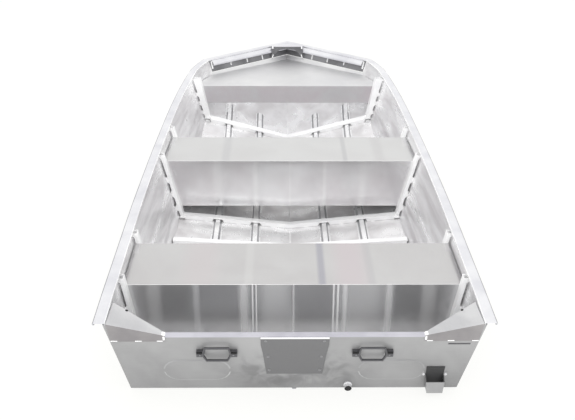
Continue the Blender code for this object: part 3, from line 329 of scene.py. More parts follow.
class Finish(Enum):
    """Finishes of the boat's pieces, named for the real metal, paint or rubber, or for the painted shade,
    highlight or reflection that they carry.
    """

    # 5052 marine sheet as it leaves the mill: bright, with soft streaks and cloudy handling marks
    HULL = Aluminium("mill_finish_5052_hull_sheet", "#f6f6f7", "#d4d2d3", 0.24, 0.38, 0.16, ALONG, 0.4)
    # The side sheets: the same metal, with long light and dark bands along their rolled length
    SIDE = Aluminium(
        "mill_finish_5052_side_sheet", "#f8f8f9", "#d0ced0", 0.26, 0.5, 0.14, ALONG, 0.4,
        cloud_mm=70.0, cloud_stretch=9.0)
    # Folded stringer sheet: newer and brighter than the floor under it. Also lent as a painted highlight to
    # the benches' eased edges and the gunwales' inner walls
    STRINGER = Aluminium("folded_stringer_sheet", "#fdfdfd", "#eeeeef", 0.22, 0.35, 0.10, ALONG, 0.05)
    # The stringers' upright walls: grey as painted shade
    STRINGER_WALL = Aluminium("stringer_wall_painted_shade", "#b4b4b7", "#a6a6a9", 0.30, 0.6, 0.10, ALONG, 0.05)
    # The hull sheet's outer face, rubbed duller by trailers and moulds
    HULL_OUTSIDE = Aluminium(
        "rubbed_5052_hull_outside", "#b6b6b9", "#a6a6aa", 0.32, 0.8, 0.14, ALONG, 0.3, cloud_mm=320.0)
    # The same sheet with its rolling marks across the boat and more oxide, so it reflects softly
    TRANSOM = Aluminium(
        "mill_finish_5052_transom_sheet", "#aeaeaf", "#6c6c6d", 0.50, 0.6, 0.10, ACROSS, 0.3,
        cloud_mm=300.0, cloud_share=0.28, foot_z=0.26, foot_share=0.28,
        smudge_at=(0.0, -1.79, 0.13), smudge_size=(0.36, 0.3, 0.16), smudge_share=0.38)
    # Painted dark reflection on the bend along the transom's outer edge, standing for the dark ground that
    # it would mirror
    BENT_EDGE = Aluminium("transom_edge_painted_reflection", "#77777a", "#6c6c6f", 0.40, 0.7, 0.10, ACROSS)
    # Bent rims of the pressed ovals, lit and shaded copies of the transom's metal: painted shade on the
    # upper rim and a painted highlight on the lower
    RIM_SHADE = Aluminium("pressed_rim_painted_shade", "#b0b0b2", "#a6a6a8", 0.40, 0.7, 0.10, ACROSS)
    RIM_LIGHT = Aluminium("pressed_rim_painted_highlight", "#c2c2c4", "#b8b8ba", 0.36, 0.7, 0.10, ACROSS)
    # Newly sheared bright sheet, a little hazed on top, with soft lengthwise streaks
    BENCH = Aluminium(
        "bright_rolled_bench_sheet", "#cdcccd", "#c4c2c3", 0.20, 0.85, 0.10, ALONG, 0.2,
        cloud_mm=300.0, cloud_share=0.6,
        streaks=((0.127, 0.026, 0.75, "#a8a8b2"), (0.346, 0.030, 0.3, "#b2b2b6"),
                 (0.26, 0.11, 0.7, "#cfc6ca"), (-0.20, 0.03, 0.3, "#dcdcdc"),
                 (-0.42, 0.12, 0.6, "#cfc9cb")))
    # The middle bench's top: the same sheet with fainter, greyer streaks
    MIDDLE_TOP = Aluminium(
        "bright_rolled_middle_sheet", "#d6d6d7", "#cfcecf", 0.20, 0.85, 0.10, ALONG, 0.2,
        cloud_mm=300.0, cloud_share=0.6,
        streaks=((0.326, 0.022, 0.45, "#b6b6ba"), (-0.379, 0.040, 0.4, "#bebec2"),
                 (0.53, 0.05, 0.35, "#c4c2c4")))
    # The rear bench's upright: duller, with painted reflections of the floor's stringers and painted
    # highlights as matt white upright streaks
    REAR_PANEL = Aluminium(
        "rear_panel_sheet_painted_reflections", "#e2e2e3", "#cfcecf", 0.22, 0.95, 0.10, UPRIGHT, 0.08,
        cloud_mm=300.0, cloud_share=0.3, streak_matt=0.45,
        streaks=((-0.432, 0.022, 0.35, "#f4f4f5"), *(
            (*band, "#ffffff") for band in (
                (-0.220, 0.034, 0.55), (-0.182, 0.006, 0.9), (-0.166, 0.005, 0.9), (0.0, 0.006, 0.45),
                (0.178, 0.006, 0.9), (0.197, 0.007, 0.9), (0.228, 0.016, 0.45), (0.30, 0.17, 0.38),
                (0.425, 0.026, 0.5), (-0.08, 0.11, 0.42), (0.60, 0.05, 0.35), (-0.62, 0.05, 0.35)))))
    # The inner board and the plate on it: darker grey, painted shade for their place away from the light
    BOARD = Aluminium(
        "transom_board_painted_shade", "#c6c6c8", "#b6b6b9", 0.36, 0.7, 0.12, ACROSS, cloud_mm=260.0)
    # The middle bench's upright: its white upright streaks are painted reflections of the floor's stringers
    PANEL = Aluminium(
        "middle_panel_sheet_painted_reflections", "#f7f7f8", "#e8e5e7", 0.15, 0.95, 0.08, UPRIGHT, 0.08,
        cloud_mm=300.0,
        streaks=tuple((*band, "#ffffff") for band in (
            (0.205, 0.018, 0.7), (-0.205, 0.018, 0.7), (0.0, 0.008, 0.6), (0.43, 0.03, 0.5),
            (-0.43, 0.04, 0.5))))
    # Deck sheet with its protective film's haze still on it, and the deck's upright front
    DECK = Aluminium("hazed_deck_sheet", "#eaeaeb", "#e0e0e2", 0.42, 0.8, 0.10, ACROSS, 0.2, cloud_mm=260.0)
    DECK_SKIRT = Aluminium(
        "brake_formed_deck_skirt", "#e2e1e3", "#dad4d8", 0.34, 0.9, 0.10, UPRIGHT, 0.1, cloud_mm=180.0)
    # 6061 extrusion: even satin from the die, faintly violet. The runners are rubbed darker, and the same
    #                 darker finish on the rails' outer bead is painted shade
    RAIL = Aluminium("extruded_6061_rail", "#f2f2f6", "#e4e4ea", 0.34, 0.9, 0.08, ALONG, 0.05)
    RAIL_BEAD = Aluminium("rubbed_runner_and_painted_shade_bead", "#bcbcc0", "#acacb1", 0.34, 0.9, 0.08, ALONG, 0.05)
    # The transom's cap: the same extrusion, greyer from handling
    CAP = Aluminium("handled_6061_cap", "#d5d4dd", "#c4c3cd", 0.34, 0.9, 0.08, ACROSS, 0.05)
    # Brake-formed channel: clean and pale on its webs
    FRAME = Aluminium("brake_formed_frame_sheet", "#fcfcfc", "#f0f0f1", 0.30, 0.15, 0.10, UPRIGHT, 0.1)
    # The nose plate and the hand-hold's upright flange: darker grey as painted shade
    NOSE = Aluminium("nose_plate_painted_shade", "#8e8e91", "#78787b", 0.36, 0.8, 0.12, ACROSS, 0.1)
    # Thick sheet of the corner knees, and their aft-facing flanges, darker as painted shade
    KNEE = Aluminium("brake_formed_knee_plate", "#d6d6d8", "#c6c6c9", 0.36, 0.8, 0.10, ALONG, 0.1)
    KNEE_FLANGE = Aluminium("knee_flange_painted_shade", "#a8a5a6", "#989597", 0.36, 0.85, 0.10, ACROSS, 0.1)
    # Folded bracket sheet: grey and even, with no shine left
    BRACKET = Aluminium("folded_bracket_sheet", "#a9a9aa", "#9a9a9c", 0.34, 0.7, 0.10, UPRIGHT, 0.05)
    # MIG bead of 5356 wire: bright, rippled and a little sooty at its edges
    WELD = SpeckledCoat("mig_weld_bead_5356", "#fbfbfb", "#e6e6e8", 0.26, 0.2, 1.2, 0.05)
    # Polyester powder coat on the clamp plate: even matt grey with a fine skin
    PLATE = SpeckledCoat("powder_coated_clamp_plate", "#666667", "#5e5e60", 0.50, 0.0, 1.5, 0.03)
    # Die-cast zinc alloy, tumbled: dark satin
    CAST = SpeckledCoat("die_cast_zinc_handle", "#6c6c6f", "#545457", 0.34, 0.8, 2.0, 0.04)
    # Spun aluminium: pale satin
    SPUN = SpeckledCoat("spun_aluminium_flange", "#e6e6e8", "#d0d0d3", 0.32, 0.4, 2.0, 0.02)
    # Stainless steel fasteners: small bright domes
    STAINLESS = SpeckledCoat("stainless_a4_fastener", "#a8a8aa", "#8e8e91", 0.30, 0.9, 1.0, 0.01)
    # EPDM rubber: dead black
    RUBBER = SpeckledCoat("epdm_rubber", "#101011", "#1c1c1e", 0.65, 0.0, 1.2, 0.05)
    # Painted shade inside the bracket: dark and matt
    PRIMER = SpeckledCoat("bracket_inside_painted_shade", "#303031", "#3a3a3b", 0.60, 0.0, 3.0, 0.03)


def finish_piece(shape: BMesh, name: str, finish: Finish,
                 crease: float = CREASE) -> Object:
    """Turns a bmesh into a shown piece of the boat, with its finish, shading and body.

    Args:
        shape: The piece's shape in the row frame, freed here.
        name: Name of the piece.
        finish: Its finish.
        crease: Angle in degrees above which an edge stays sharp.

    Returns:
        The new object.
    """
    mesh = bpy.data.meshes.new(name)
    shape.to_mesh(mesh)
    shape.free()
    kept = mesh.attributes.get("custom_normal")
    if kept:
        mesh.attributes.remove(kept)
    mesh.materials.clear()
    mesh.materials.append(finish.value.material())
    mesh.shade_smooth()
    mesh.set_sharp_from_angle(angle=math.radians(crease))
    piece = bpy.data.objects.new(name, mesh)
    bpy.context.scene.collection.objects.link(piece)
    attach(piece, "root")
    LOG.info("%s: %d faces", name, len(mesh.polygons))
    return piece


def paint_faces(piece: Object, finishes: Sequence[Finish],
                pick: Callable[[MeshPolygon], int]) -> None:
    """Gives some of a piece's faces other finishes.

    Args:
        piece: The piece.
        finishes: Its other finishes.
        pick: Gives a face's place in the list of all the piece's finishes.
    """
    for finish in finishes:
        piece.data.materials.append(finish.value.material())
    for face in piece.data.polygons:
        face.material_index = int(pick(face))


def packed_shape(node: str) -> BMesh:
    """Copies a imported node's mesh with its loose triangles merged.

    Args:
        node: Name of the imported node.

    Returns:
        A closed bmesh in the row frame.
    """
    shape = bmesh.new()
    shape.from_mesh(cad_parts[node].data)
    bmesh.ops.remove_doubles(shape, verts=shape.verts, dist=MERGE)
    bmesh.ops.dissolve_limit(shape, angle_limit=FLAT, verts=shape.verts, edges=shape.edges)
    return shape


@dataclass(frozen=True)
class FormedPiece:
    """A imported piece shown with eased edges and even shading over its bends.

    Attributes:
        node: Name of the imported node.
        finish: Its finish.
        edge_mm: Radius of its eased edges.
        crease: Angle in degrees above which an edge is eased and stays sharp.
        outside: Finish of the faces that look away from the boat's middle, none for the same.
        swell_mm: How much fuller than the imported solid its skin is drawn.
    """

    node: str
    finish: Finish
    edge_mm: float = 0.6
    crease: float = CREASE
    outside: Finish | None = None
    swell_mm: float = 0.0

    def build(self) -> Object:
        """Makes the shown copy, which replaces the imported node.

        Returns:
            The shown piece.
        """
        piece = finish_piece(packed_shape(self.node), f"{self.node}_formed", self.finish,
                             self.crease)
        if self.outside:
            paint_faces(piece, [self.outside], lambda face: face.normal.dot(
                Vector((face.center.x, max(face.center.y, 0.0), OUTSIDE_Z))) > 0)
        if self.swell_mm:
            fuller = piece.modifiers.new("fuller_casting", "DISPLACE")
            fuller.mid_level = 0.0
            fuller.strength = self.swell_mm * MM
        bevel = piece.modifiers.new("eased_edges", "BEVEL")
        bevel.width = self.edge_mm * MM
        bevel.segments = 2
        bevel.limit_method = "ANGLE"
        bevel.angle_limit = math.radians(self.crease)
        piece.modifiers.new("even_faces", "WEIGHTED_NORMAL").keep_sharp = True
        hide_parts(self.node)
        return piece


@dataclass(frozen=True)
class Seat:
    """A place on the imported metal.

    Attributes:
        point: A point of the surface.
        facing: The way that the surface faces there.
    """

    point: Vector
    facing: Vector

    def axes(self, along: Sequence[float] = (1, 0, 0)) -> Matrix:
        """Gives a frame at the seat.

        Args:
            along: Direction that the frame's X follows as nearly as the surface lets it.

        Returns:
            Matrix with X along, Z outwards and its origin at the seat.
        """
        z = self.facing.normalized()
        x = (Vector(along) - z * z.dot(Vector(along))).normalized()
        return Matrix.Translation(self.point) @ Matrix((x, z.cross(x), z)).transposed().to_4x4()

    def along(self, way: Sequence[float]) -> Vector:
        """Turns a direction until it lies in the surface."""
        return Vector(way) - self.facing * self.facing.dot(Vector(way))


def surface_of(node: str) -> BVHTree:
    """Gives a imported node's search tree, made on first use.

    Args:
        node: The node's name.

    Returns:
        The tree of the node's faces.
    """
    if node not in SURFACES:
        shape = packed_shape(node)
        bmesh.ops.triangulate(shape, faces=shape.faces)
        SURFACES[node] = BVHTree.FromBMesh(shape)
        shape.free()
    return SURFACES[node]


def touch(nodes: Sequence[str], start: Sequence[float], way: Sequence[float] = DOWN) -> Seat:
    """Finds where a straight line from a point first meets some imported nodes.

    Args:
        nodes: Names of the nodes.
        start: Where the line starts.
        way: Its direction.

    Returns:
        The seat that it meets.

    Raises:
        ValueError: If the line misses them all.
    """
    origin, direction = Vector(start), Vector(way).normalized()
    nearest = None
    for node in nodes:
        point, normal, _, reach = surface_of(node).ray_cast(origin, direction)
        if point is not None and (nearest is None or reach < nearest[0]):
            nearest = reach, Seat(point, normal if normal.dot(direction) < 0 else -normal)
    if nearest is None:
        raise ValueError(f"{nodes} missed from {tuple(start)}")
    return nearest[1]


def make_details(name: str, details: Sequence["WeldBead | Fastener | Block"], finish: Finish,
                 crease: float = CREASE) -> None:
    """Joins details in one piece.

    Args:
        name: Name of the piece.
        details: The details.
        finish: Their finish.
        crease: Angle in degrees above which an edge stays sharp.
    """
    shape = bmesh.new()
    for detail in details:
        detail.add_to(shape)
    finish_piece(shape, name, finish, crease)


@dataclass(frozen=True)
class WeldBead:
    """One MIG bead, laid as overlapping ripples along a line of seats.

    Attributes:
        seats: Places that it runs through.
        width_mm: Its width.
        rise_mm: Its height above the metal.
        ripple_mm: Distance between two ripples.
    """

    seats: tuple[Seat, ...]
    width_mm: float = 8.0
    rise_mm: float = 2.5
    ripple_mm: float = 6.0

    def add_to(self, shape: BMesh) -> None:
        """Adds the bead's ripples to a mesh.

        Args:
            shape: The mesh.
        """
        ripple = bmesh.new()
        bmesh.ops.create_uvsphere(ripple, u_segments=8, v_segments=5, radius=1.0)
        lower = [vert for vert in ripple.verts if vert.co.z < 0]
        bmesh.ops.scale(ripple, verts=lower, vec=(1, 1, SUNK))
        size = Matrix.Diagonal((self.ripple_mm * OVERLAP * MM, self.width_mm / 2 * MM, self.rise_mm * MM, 1))
        laid = bpy.data.meshes.new("ripple")
        for one, two in zip(self.seats, self.seats[1:]):
            run = two.point - one.point
            count = max(round(run.length / (self.ripple_mm * MM)), 1)
            for step in range(count):
                share = (step + 0.5) / count
                seat = Seat(one.point + run * share, one.facing.lerp(two.facing, share))
                placed = ripple.copy()
                placed.transform(seat.axes(run) @ size)
                placed.to_mesh(laid)
                placed.free()
                shape.from_mesh(laid)
        ripple.free()
        bpy.data.meshes.remove(laid)


def straight_bead(middle: Seat, along: Sequence[float], length_mm: float, *sizes: float) -> WeldBead:
    """Makes a short straight bead about its middle.

    Args:
        middle: Seat of its middle.
        along: Its direction.
        length_mm: Its length.
        *sizes: Its width, its height and the distance between its ripples, in millimetres.

    Returns:
        The bead.
    """
    half = Vector(along).normalized() * (length_mm / 2 * MM)
    return WeldBead((Seat(middle.point - half, middle.facing), Seat(middle.point + half, middle.facing)),
                    *sizes)


@dataclass(frozen=True)
class Fastener:
    """A screw or bolt head with a washer and a driver's recess.

    Attributes:
        seat: Where it is driven in.
        head_mm: Diameter of its head.
        rise_mm: Height of its head.
        sides: Number of sides, six for a hexagon.
    """

    seat: Seat
    head_mm: float = 10.0
    rise_mm: float = 3.0
    sides: int = 20

    def add_to(self, shape: BMesh) -> None:
        """Adds the fastener to a mesh.

        Args:
            shape: The mesh.
        """
        place = self.seat.axes()
        radius, rise = self.head_mm / 2 * MM, self.rise_mm * MM
        washer = rise * WASHER_RISE
        bmesh.ops.create_cone(shape, cap_ends=True, segments=20, radius1=radius * WASHER_FOOT,
                              radius2=radius * WASHER_TOP, depth=washer * 2, matrix=place)
        lift = Matrix.Translation((0, 0, (rise + washer) / 2))
        head = bmesh.ops.create_cone(shape, cap_ends=True, segments=self.sides, radius1=radius,
                                     radius2=radius * CROWN, depth=rise - washer, matrix=place @ lift)
        faces = {face for vert in head["verts"] for face in vert.link_faces}
        top = max((face for face in faces if len(face.verts) == self.sides),
                  key=lambda face: face.calc_center_median().dot(self.seat.facing))
        bmesh.ops.inset_region(shape, faces=[top], thickness=radius * RIM, depth=0.0)
        recess = bmesh.ops.extrude_discrete_faces(shape, faces=[top])["faces"]
        bmesh.ops.translate(shape, verts=recess[0].verts, vec=self.seat.facing * (-rise * RECESS))


@dataclass(frozen=True)
class Block:
    """A small block with rounded edges, centred on its seat.

    Attributes:
        seat: Its place.
        size_mm: Its length, width and height.
        ease_mm: Radius of its edges.
    """

    seat: Seat
    size_mm: tuple[float, float, float]
    ease_mm: float

    def add_to(self, shape: BMesh) -> None:
        """Adds the block to a mesh.

        Args:
            shape: The mesh.
        """
        scale = Matrix.Diagonal((*(side * MM for side in self.size_mm), 1))
        corners = bmesh.ops.create_cube(shape, size=1.0, matrix=self.seat.axes() @ scale)["verts"]
        edges = list(dict.fromkeys(edge for vert in corners for edge in vert.link_edges))
        bmesh.ops.bevel(shape, geom=edges, offset=self.ease_mm * MM, offset_type="OFFSET", segments=2,
                        profile=0.5, affect="EDGES", material=-1, clamp_overlap=True)


@dataclass(frozen=True)
class Hull:
    """The bottom, the sides, the nose plate and the strips underneath, with the keel's bead inside.

    Attributes:
        seam: Y where the keel's bead starts and ends.
        seam_step: Distance between the seats that the bead runs through.
        seam_x: How far beside the middle they lie, clear of the bottom's centre edge.
        nose_from: Height above which the bottom's inside is as hazed as the deck.
    """

    seam: tuple[float, float] = (-1.70, 1.30)
    seam_step: float = 0.10
    seam_x: float = 0.0004
    nose_from: float = 0.47

    def build(self) -> None:
        """Makes the hull's pieces."""
        bottom = FormedPiece("hull_bottom", Finish.HULL, outside=Finish.HULL_OUTSIDE).build()
        paint_faces(bottom, [Finish.DECK],
                    lambda face: face.material_index or 2 * (face.center.z > self.nose_from))
        for node in SIDES:
            FormedPiece(node, Finish.SIDE, crease=55.0, outside=Finish.HULL_OUTSIDE).build()
        # The nose plate's inside takes the darker nose finish as painted shade
        FormedPiece("bow_header", Finish.NOSE, outside=Finish.HULL_OUTSIDE).build()
        for node in ("keel_runner", "stem_strip", "runner_left", "runner_right"):
            FormedPiece(node, Finish.RAIL_BEAD, 1.0).build()
        start, end = self.seam
        count = round((end - start) / self.seam_step)
        seats = tuple(touch(["hull_bottom"], (self.seam_x, start + (end - start) * step / count, OVERHEAD))
                      for step in range(count + 1))
        make_details("keel_seam_bead", [WeldBead(seats, 6.0, 1.5)], Finish.WELD, SMOOTH)


@dataclass(frozen=True)
class Framing:
    """The side frames, floor ribs and stringers, with their weld beads.

    Attributes:
        tacks: Shares of a frame's height where it is welded to the side, between its slots.
        rib_tacks: Half-widths at which a rib is welded to the bottom.
        tack_mm: Length of such a weld.
        foot: How far behind a frame's inner edge and how far above its foot the foot's bead lies.
        aft_foot: The same for the bead on the foot's aft face.
        bow_foot: Half-width, Y and a free height over the corner that the foremost frame leaves open.
        foot_lean: How much each of the foot's two beads faces upwards.
        inside: Half-width where the lines to the sides start.
        wall_normal: Least sideways part of the normal of a stringer's wall.
        tack_size: Width and rise in millimetres of a frame's weld.
        rib_size: The same for a rib's.
        foot_size: Length, width, rise and ripple in millimetres of the foot's bead.
        aft_size: The same for the bead on its aft face.
        bow_size: The same for the bead in the open corner.
    """

    tacks: tuple[float, ...] = (0.16, 0.385, 0.61)
    rib_tacks: tuple[float, ...] = (0.10, 0.31, 0.50)
    tack_mm: float = 22.0
    foot: tuple[float, float] = (0.006, 0.012)
    aft_foot: tuple[float, float] = (0.010, 0.005)
    bow_foot: tuple[float, float, float] = (0.583, 1.068, 0.29)
    foot_lean: tuple[float, float] = (0.8, 0.4)
    inside: float = 0.3
    wall_normal: float = 0.6
    tack_size: tuple[float, float] = (9.0, 4.0)
    rib_size: tuple[float, float] = (6.0, 2.5)
    foot_size: tuple[float, ...] = (44.0, 20.0, 8.0, 11.0)
    aft_size: tuple[float, ...] = (28.0, 16.0, 6.0, 9.0)
    bow_size: tuple[float, ...] = (30.0, 22.0, 10.0, 9.0)

    def build(self) -> None:
        """Makes the framing's pieces."""
        for row in ("inner", "outer"):
            for _, side in HANDS:
                stringer = FormedPiece(f"stringer_{row}_{side}", Finish.STRINGER, crease=40.0).build()
                # Painted shade: the stringers' upright walls get the greyer wall finish
                paint_faces(stringer, [Finish.STRINGER_WALL],
                            lambda face: abs(face.normal.x) > self.wall_normal)
        for node in (*(node for _, node in SIDE_FRAMES), *RIBS):
            FormedPiece(node, Finish.FRAME).build()
        self.frame_welds()
        self.foot_welds()
        self.rib_welds()

    def frame_welds(self) -> None:
        """Welds each frame to its side between the slots, on both faces."""
        beads = []
        for hand, node in SIDE_FRAMES:
            low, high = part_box(node)
            for share in self.tacks:
                z = low[2] + (high[2] - low[2]) * share
                for y in (low[1], high[1]):
                    seats = tuple(
                        touch(SIDES, (hand * self.inside, y, z + step * self.tack_mm * MM), (hand, 0, 0))
                        for step in (-0.5, 0.0, 0.5))
                    beads.append(WeldBead(seats, *self.tack_size))
        make_details("side_frame_welds", beads, Finish.WELD, SMOOTH)

    def foot_welds(self) -> None:
        """Fills the corner where each frame stands on its rib's end."""
        beads = []
        for hand, node in SIDE_FRAMES:
            low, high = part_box(node)
            inner = high[0] if hand < 0 else low[0]
            (out, rise), (aft_out, aft_rise) = self.foot, self.aft_foot
            top = Seat(Vector((inner + hand * out, (low[1] + high[1]) / 2, low[2] + rise)),
                       Vector((-hand, 0, self.foot_lean[0])))
            beads.append(straight_bead(top, (0, 1, 0), *self.foot_size))
            aft = Seat(Vector((inner + hand * aft_out, low[1] - MM, low[2] + aft_rise)),
                       Vector((0, -1, self.foot_lean[1])))
            beads.append(straight_bead(aft, (1, 0, 0), *self.aft_size))
        across, *rest = self.bow_foot
        for hand, _ in HANDS:
            corner = touch(["hull_bottom"], (hand * across, *rest))
            beads.append(straight_bead(corner, corner.along((1, 0, 0)), *self.bow_size))
        make_details("frame_foot_welds", beads, Finish.WELD, SMOOTH)

    def rib_welds(self) -> None:
        """Welds each rib's foot down on the bottom between the stringers."""
        beads = []
        for rib in RIBS:
            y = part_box(rib)[0][1]
            for hand, _ in HANDS:
                for across in self.rib_tacks:
                    foot = touch(["hull_bottom"], (hand * across, y - MM, OVERHEAD))
                    beads.append(straight_bead(Seat(foot.point, Vector((0, -1, 1))), foot.along((1, 0, 0)),
                                               self.tack_mm, *self.rib_size))
        make_details("rib_welds", beads, Finish.WELD, SMOOTH)


@dataclass(frozen=True)
class Benches:
    """The two cross benches and the bow deck.

    Attributes:
        fold_mm: Radius of their folds.
    """

    fold_mm: float = 2.0

    def build(self) -> None:
        """Makes the benches and the deck."""
        for node, top, fronts in (("rear_bench", Finish.BENCH, (Finish.REAR_PANEL, Finish.STRINGER)),
                                  ("middle_bench", Finish.MIDDLE_TOP, (Finish.PANEL, Finish.STRINGER)),
                                  ("bow_deck", Finish.DECK, (Finish.DECK_SKIRT,))):
            bench = FormedPiece(node, top, self.fold_mm).build()
            # The aft-facing uprights get their own finishes; those of the two benches carry painted
            # reflections
            paint_faces(bench, fronts, lambda face: face.normal.y < -FACING)
            # Painted highlight: the rear and middle benches' eased edges take the white stringer finish
            if len(fronts) > 1:
                bench.modifiers["eased_edges"].material = 2


@dataclass(frozen=True)
class Rails:
    """The gunwales and the nose's cap, angle, hand-hold and eye, with their welds.

    Attributes:
        inside_y: Y in front of the nose plate where the lines to the welds' seats start.
        stitches: Half-width, length and width in millimetres of the bow angle's stitches.
        stitch_height: Height of their middles.
        hold_foot: Half-width and height of the welds on the hand-hold's feet.
        hold_head: Half-width and height of those on its upper corners.
        foot_size: Length, width and rise in millimetres of a foot's weld.
        head_size: The same for an upper corner's.
        bow_share: How much a face's place along the boat counts in the way outwards.
    """

    inside_y: float = 1.0
    stitches: tuple[tuple[float, float, float], ...] = (
        (0.196, 48.0, 10.0), (0.311, 48.0, 10.0), (0.432, 48.0, 10.0), (0.566, 56.0, 16.0))
    stitch_height: float = 0.604
    hold_foot: tuple[float, float] = (0.113, 0.597)
    hold_head: tuple[float, float] = (0.112, 0.664)
    foot_size: tuple[float, ...] = (26.0, 10.0, 3.5)
    head_size: tuple[float, ...] = (16.0, 12.0, 4.0)
    bow_share: float = 0.4

    def build(self) -> None:
        """Makes the rails' pieces."""
        for node in ("gunwale_left", "gunwale_right", "bow_cap"):
            rail = FormedPiece(node, Finish.RAIL, crease=55.0).build()
            inner = 0 if node == "bow_cap" else 2

            def bead_or_wall(face: MeshPolygon, inner: int = inner) -> int:
                """Tells the outer bead, which gets painted shade, and the inner wall, which gets a painted
                highlight, from the top.

                Args:
                    face: A face of the rail.
                    inner: Place of the inner wall's finish among the rail's.

                Returns:
                    The place of the face's finish among the rail's.
                """
                # Painted shade on the outer bead, and a painted highlight in the white stringer finish on
                # the inner wall
                away = Vector((face.center.x, max(face.center.y, 0.0) * self.bow_share, 0.0))
                outwards = face.normal.dot(away.normalized())
                return 1 if outwards > LEANING else inner if outwards < -LEANING else 0

            paint_faces(rail, [Finish.RAIL_BEAD, Finish.STRINGER], bead_or_wall)
        FormedPiece("bow_angle", Finish.RAIL, crease=60.0).build()
        FormedPiece("bow_eye", Finish.CAST).build()
        hold = FormedPiece("breasthook", Finish.RAIL).build()
        # Painted shade: the hand-hold's upright faces take the darker nose finish, and its top stays light
        paint_faces(hold, [Finish.NOSE], lambda face: abs(face.normal.y) > SQUARE)
        self.nose_welds()

    def nose_welds(self) -> None:
        """Stitches the bow angle to the nose plate, and welds the hand-hold's feet and corners."""
        beads = []
        for hand, _ in HANDS:
            for across, length, width in self.stitches:
                seat = touch(["bow_header"], (hand * across, self.inside_y, self.stitch_height), (0, 1, 0))
                beads.append(straight_bead(seat, seat.along((0, 0, 1)), length, width, 9.0))
            for (across, z), along, sizes in ((self.hold_foot, (hand * 0.3, 0, -1), self.foot_size),
                                              (self.hold_head, (0, 0.4, 1), self.head_size)):
                seat = touch(["breasthook"], (hand * across, self.inside_y, z), (0, 1, 0))
                beads.append(straight_bead(seat, along, *sizes))
        make_details("nose_welds", beads, Finish.WELD, SMOOTH)


RAKE = math.radians(16.0)
TRANSOM_OUT = Vector((0.0, -math.cos(RAKE), -math.sin(RAKE)))
TRANSOM_UP = Vector((0.0, -math.sin(RAKE), math.cos(RAKE)))


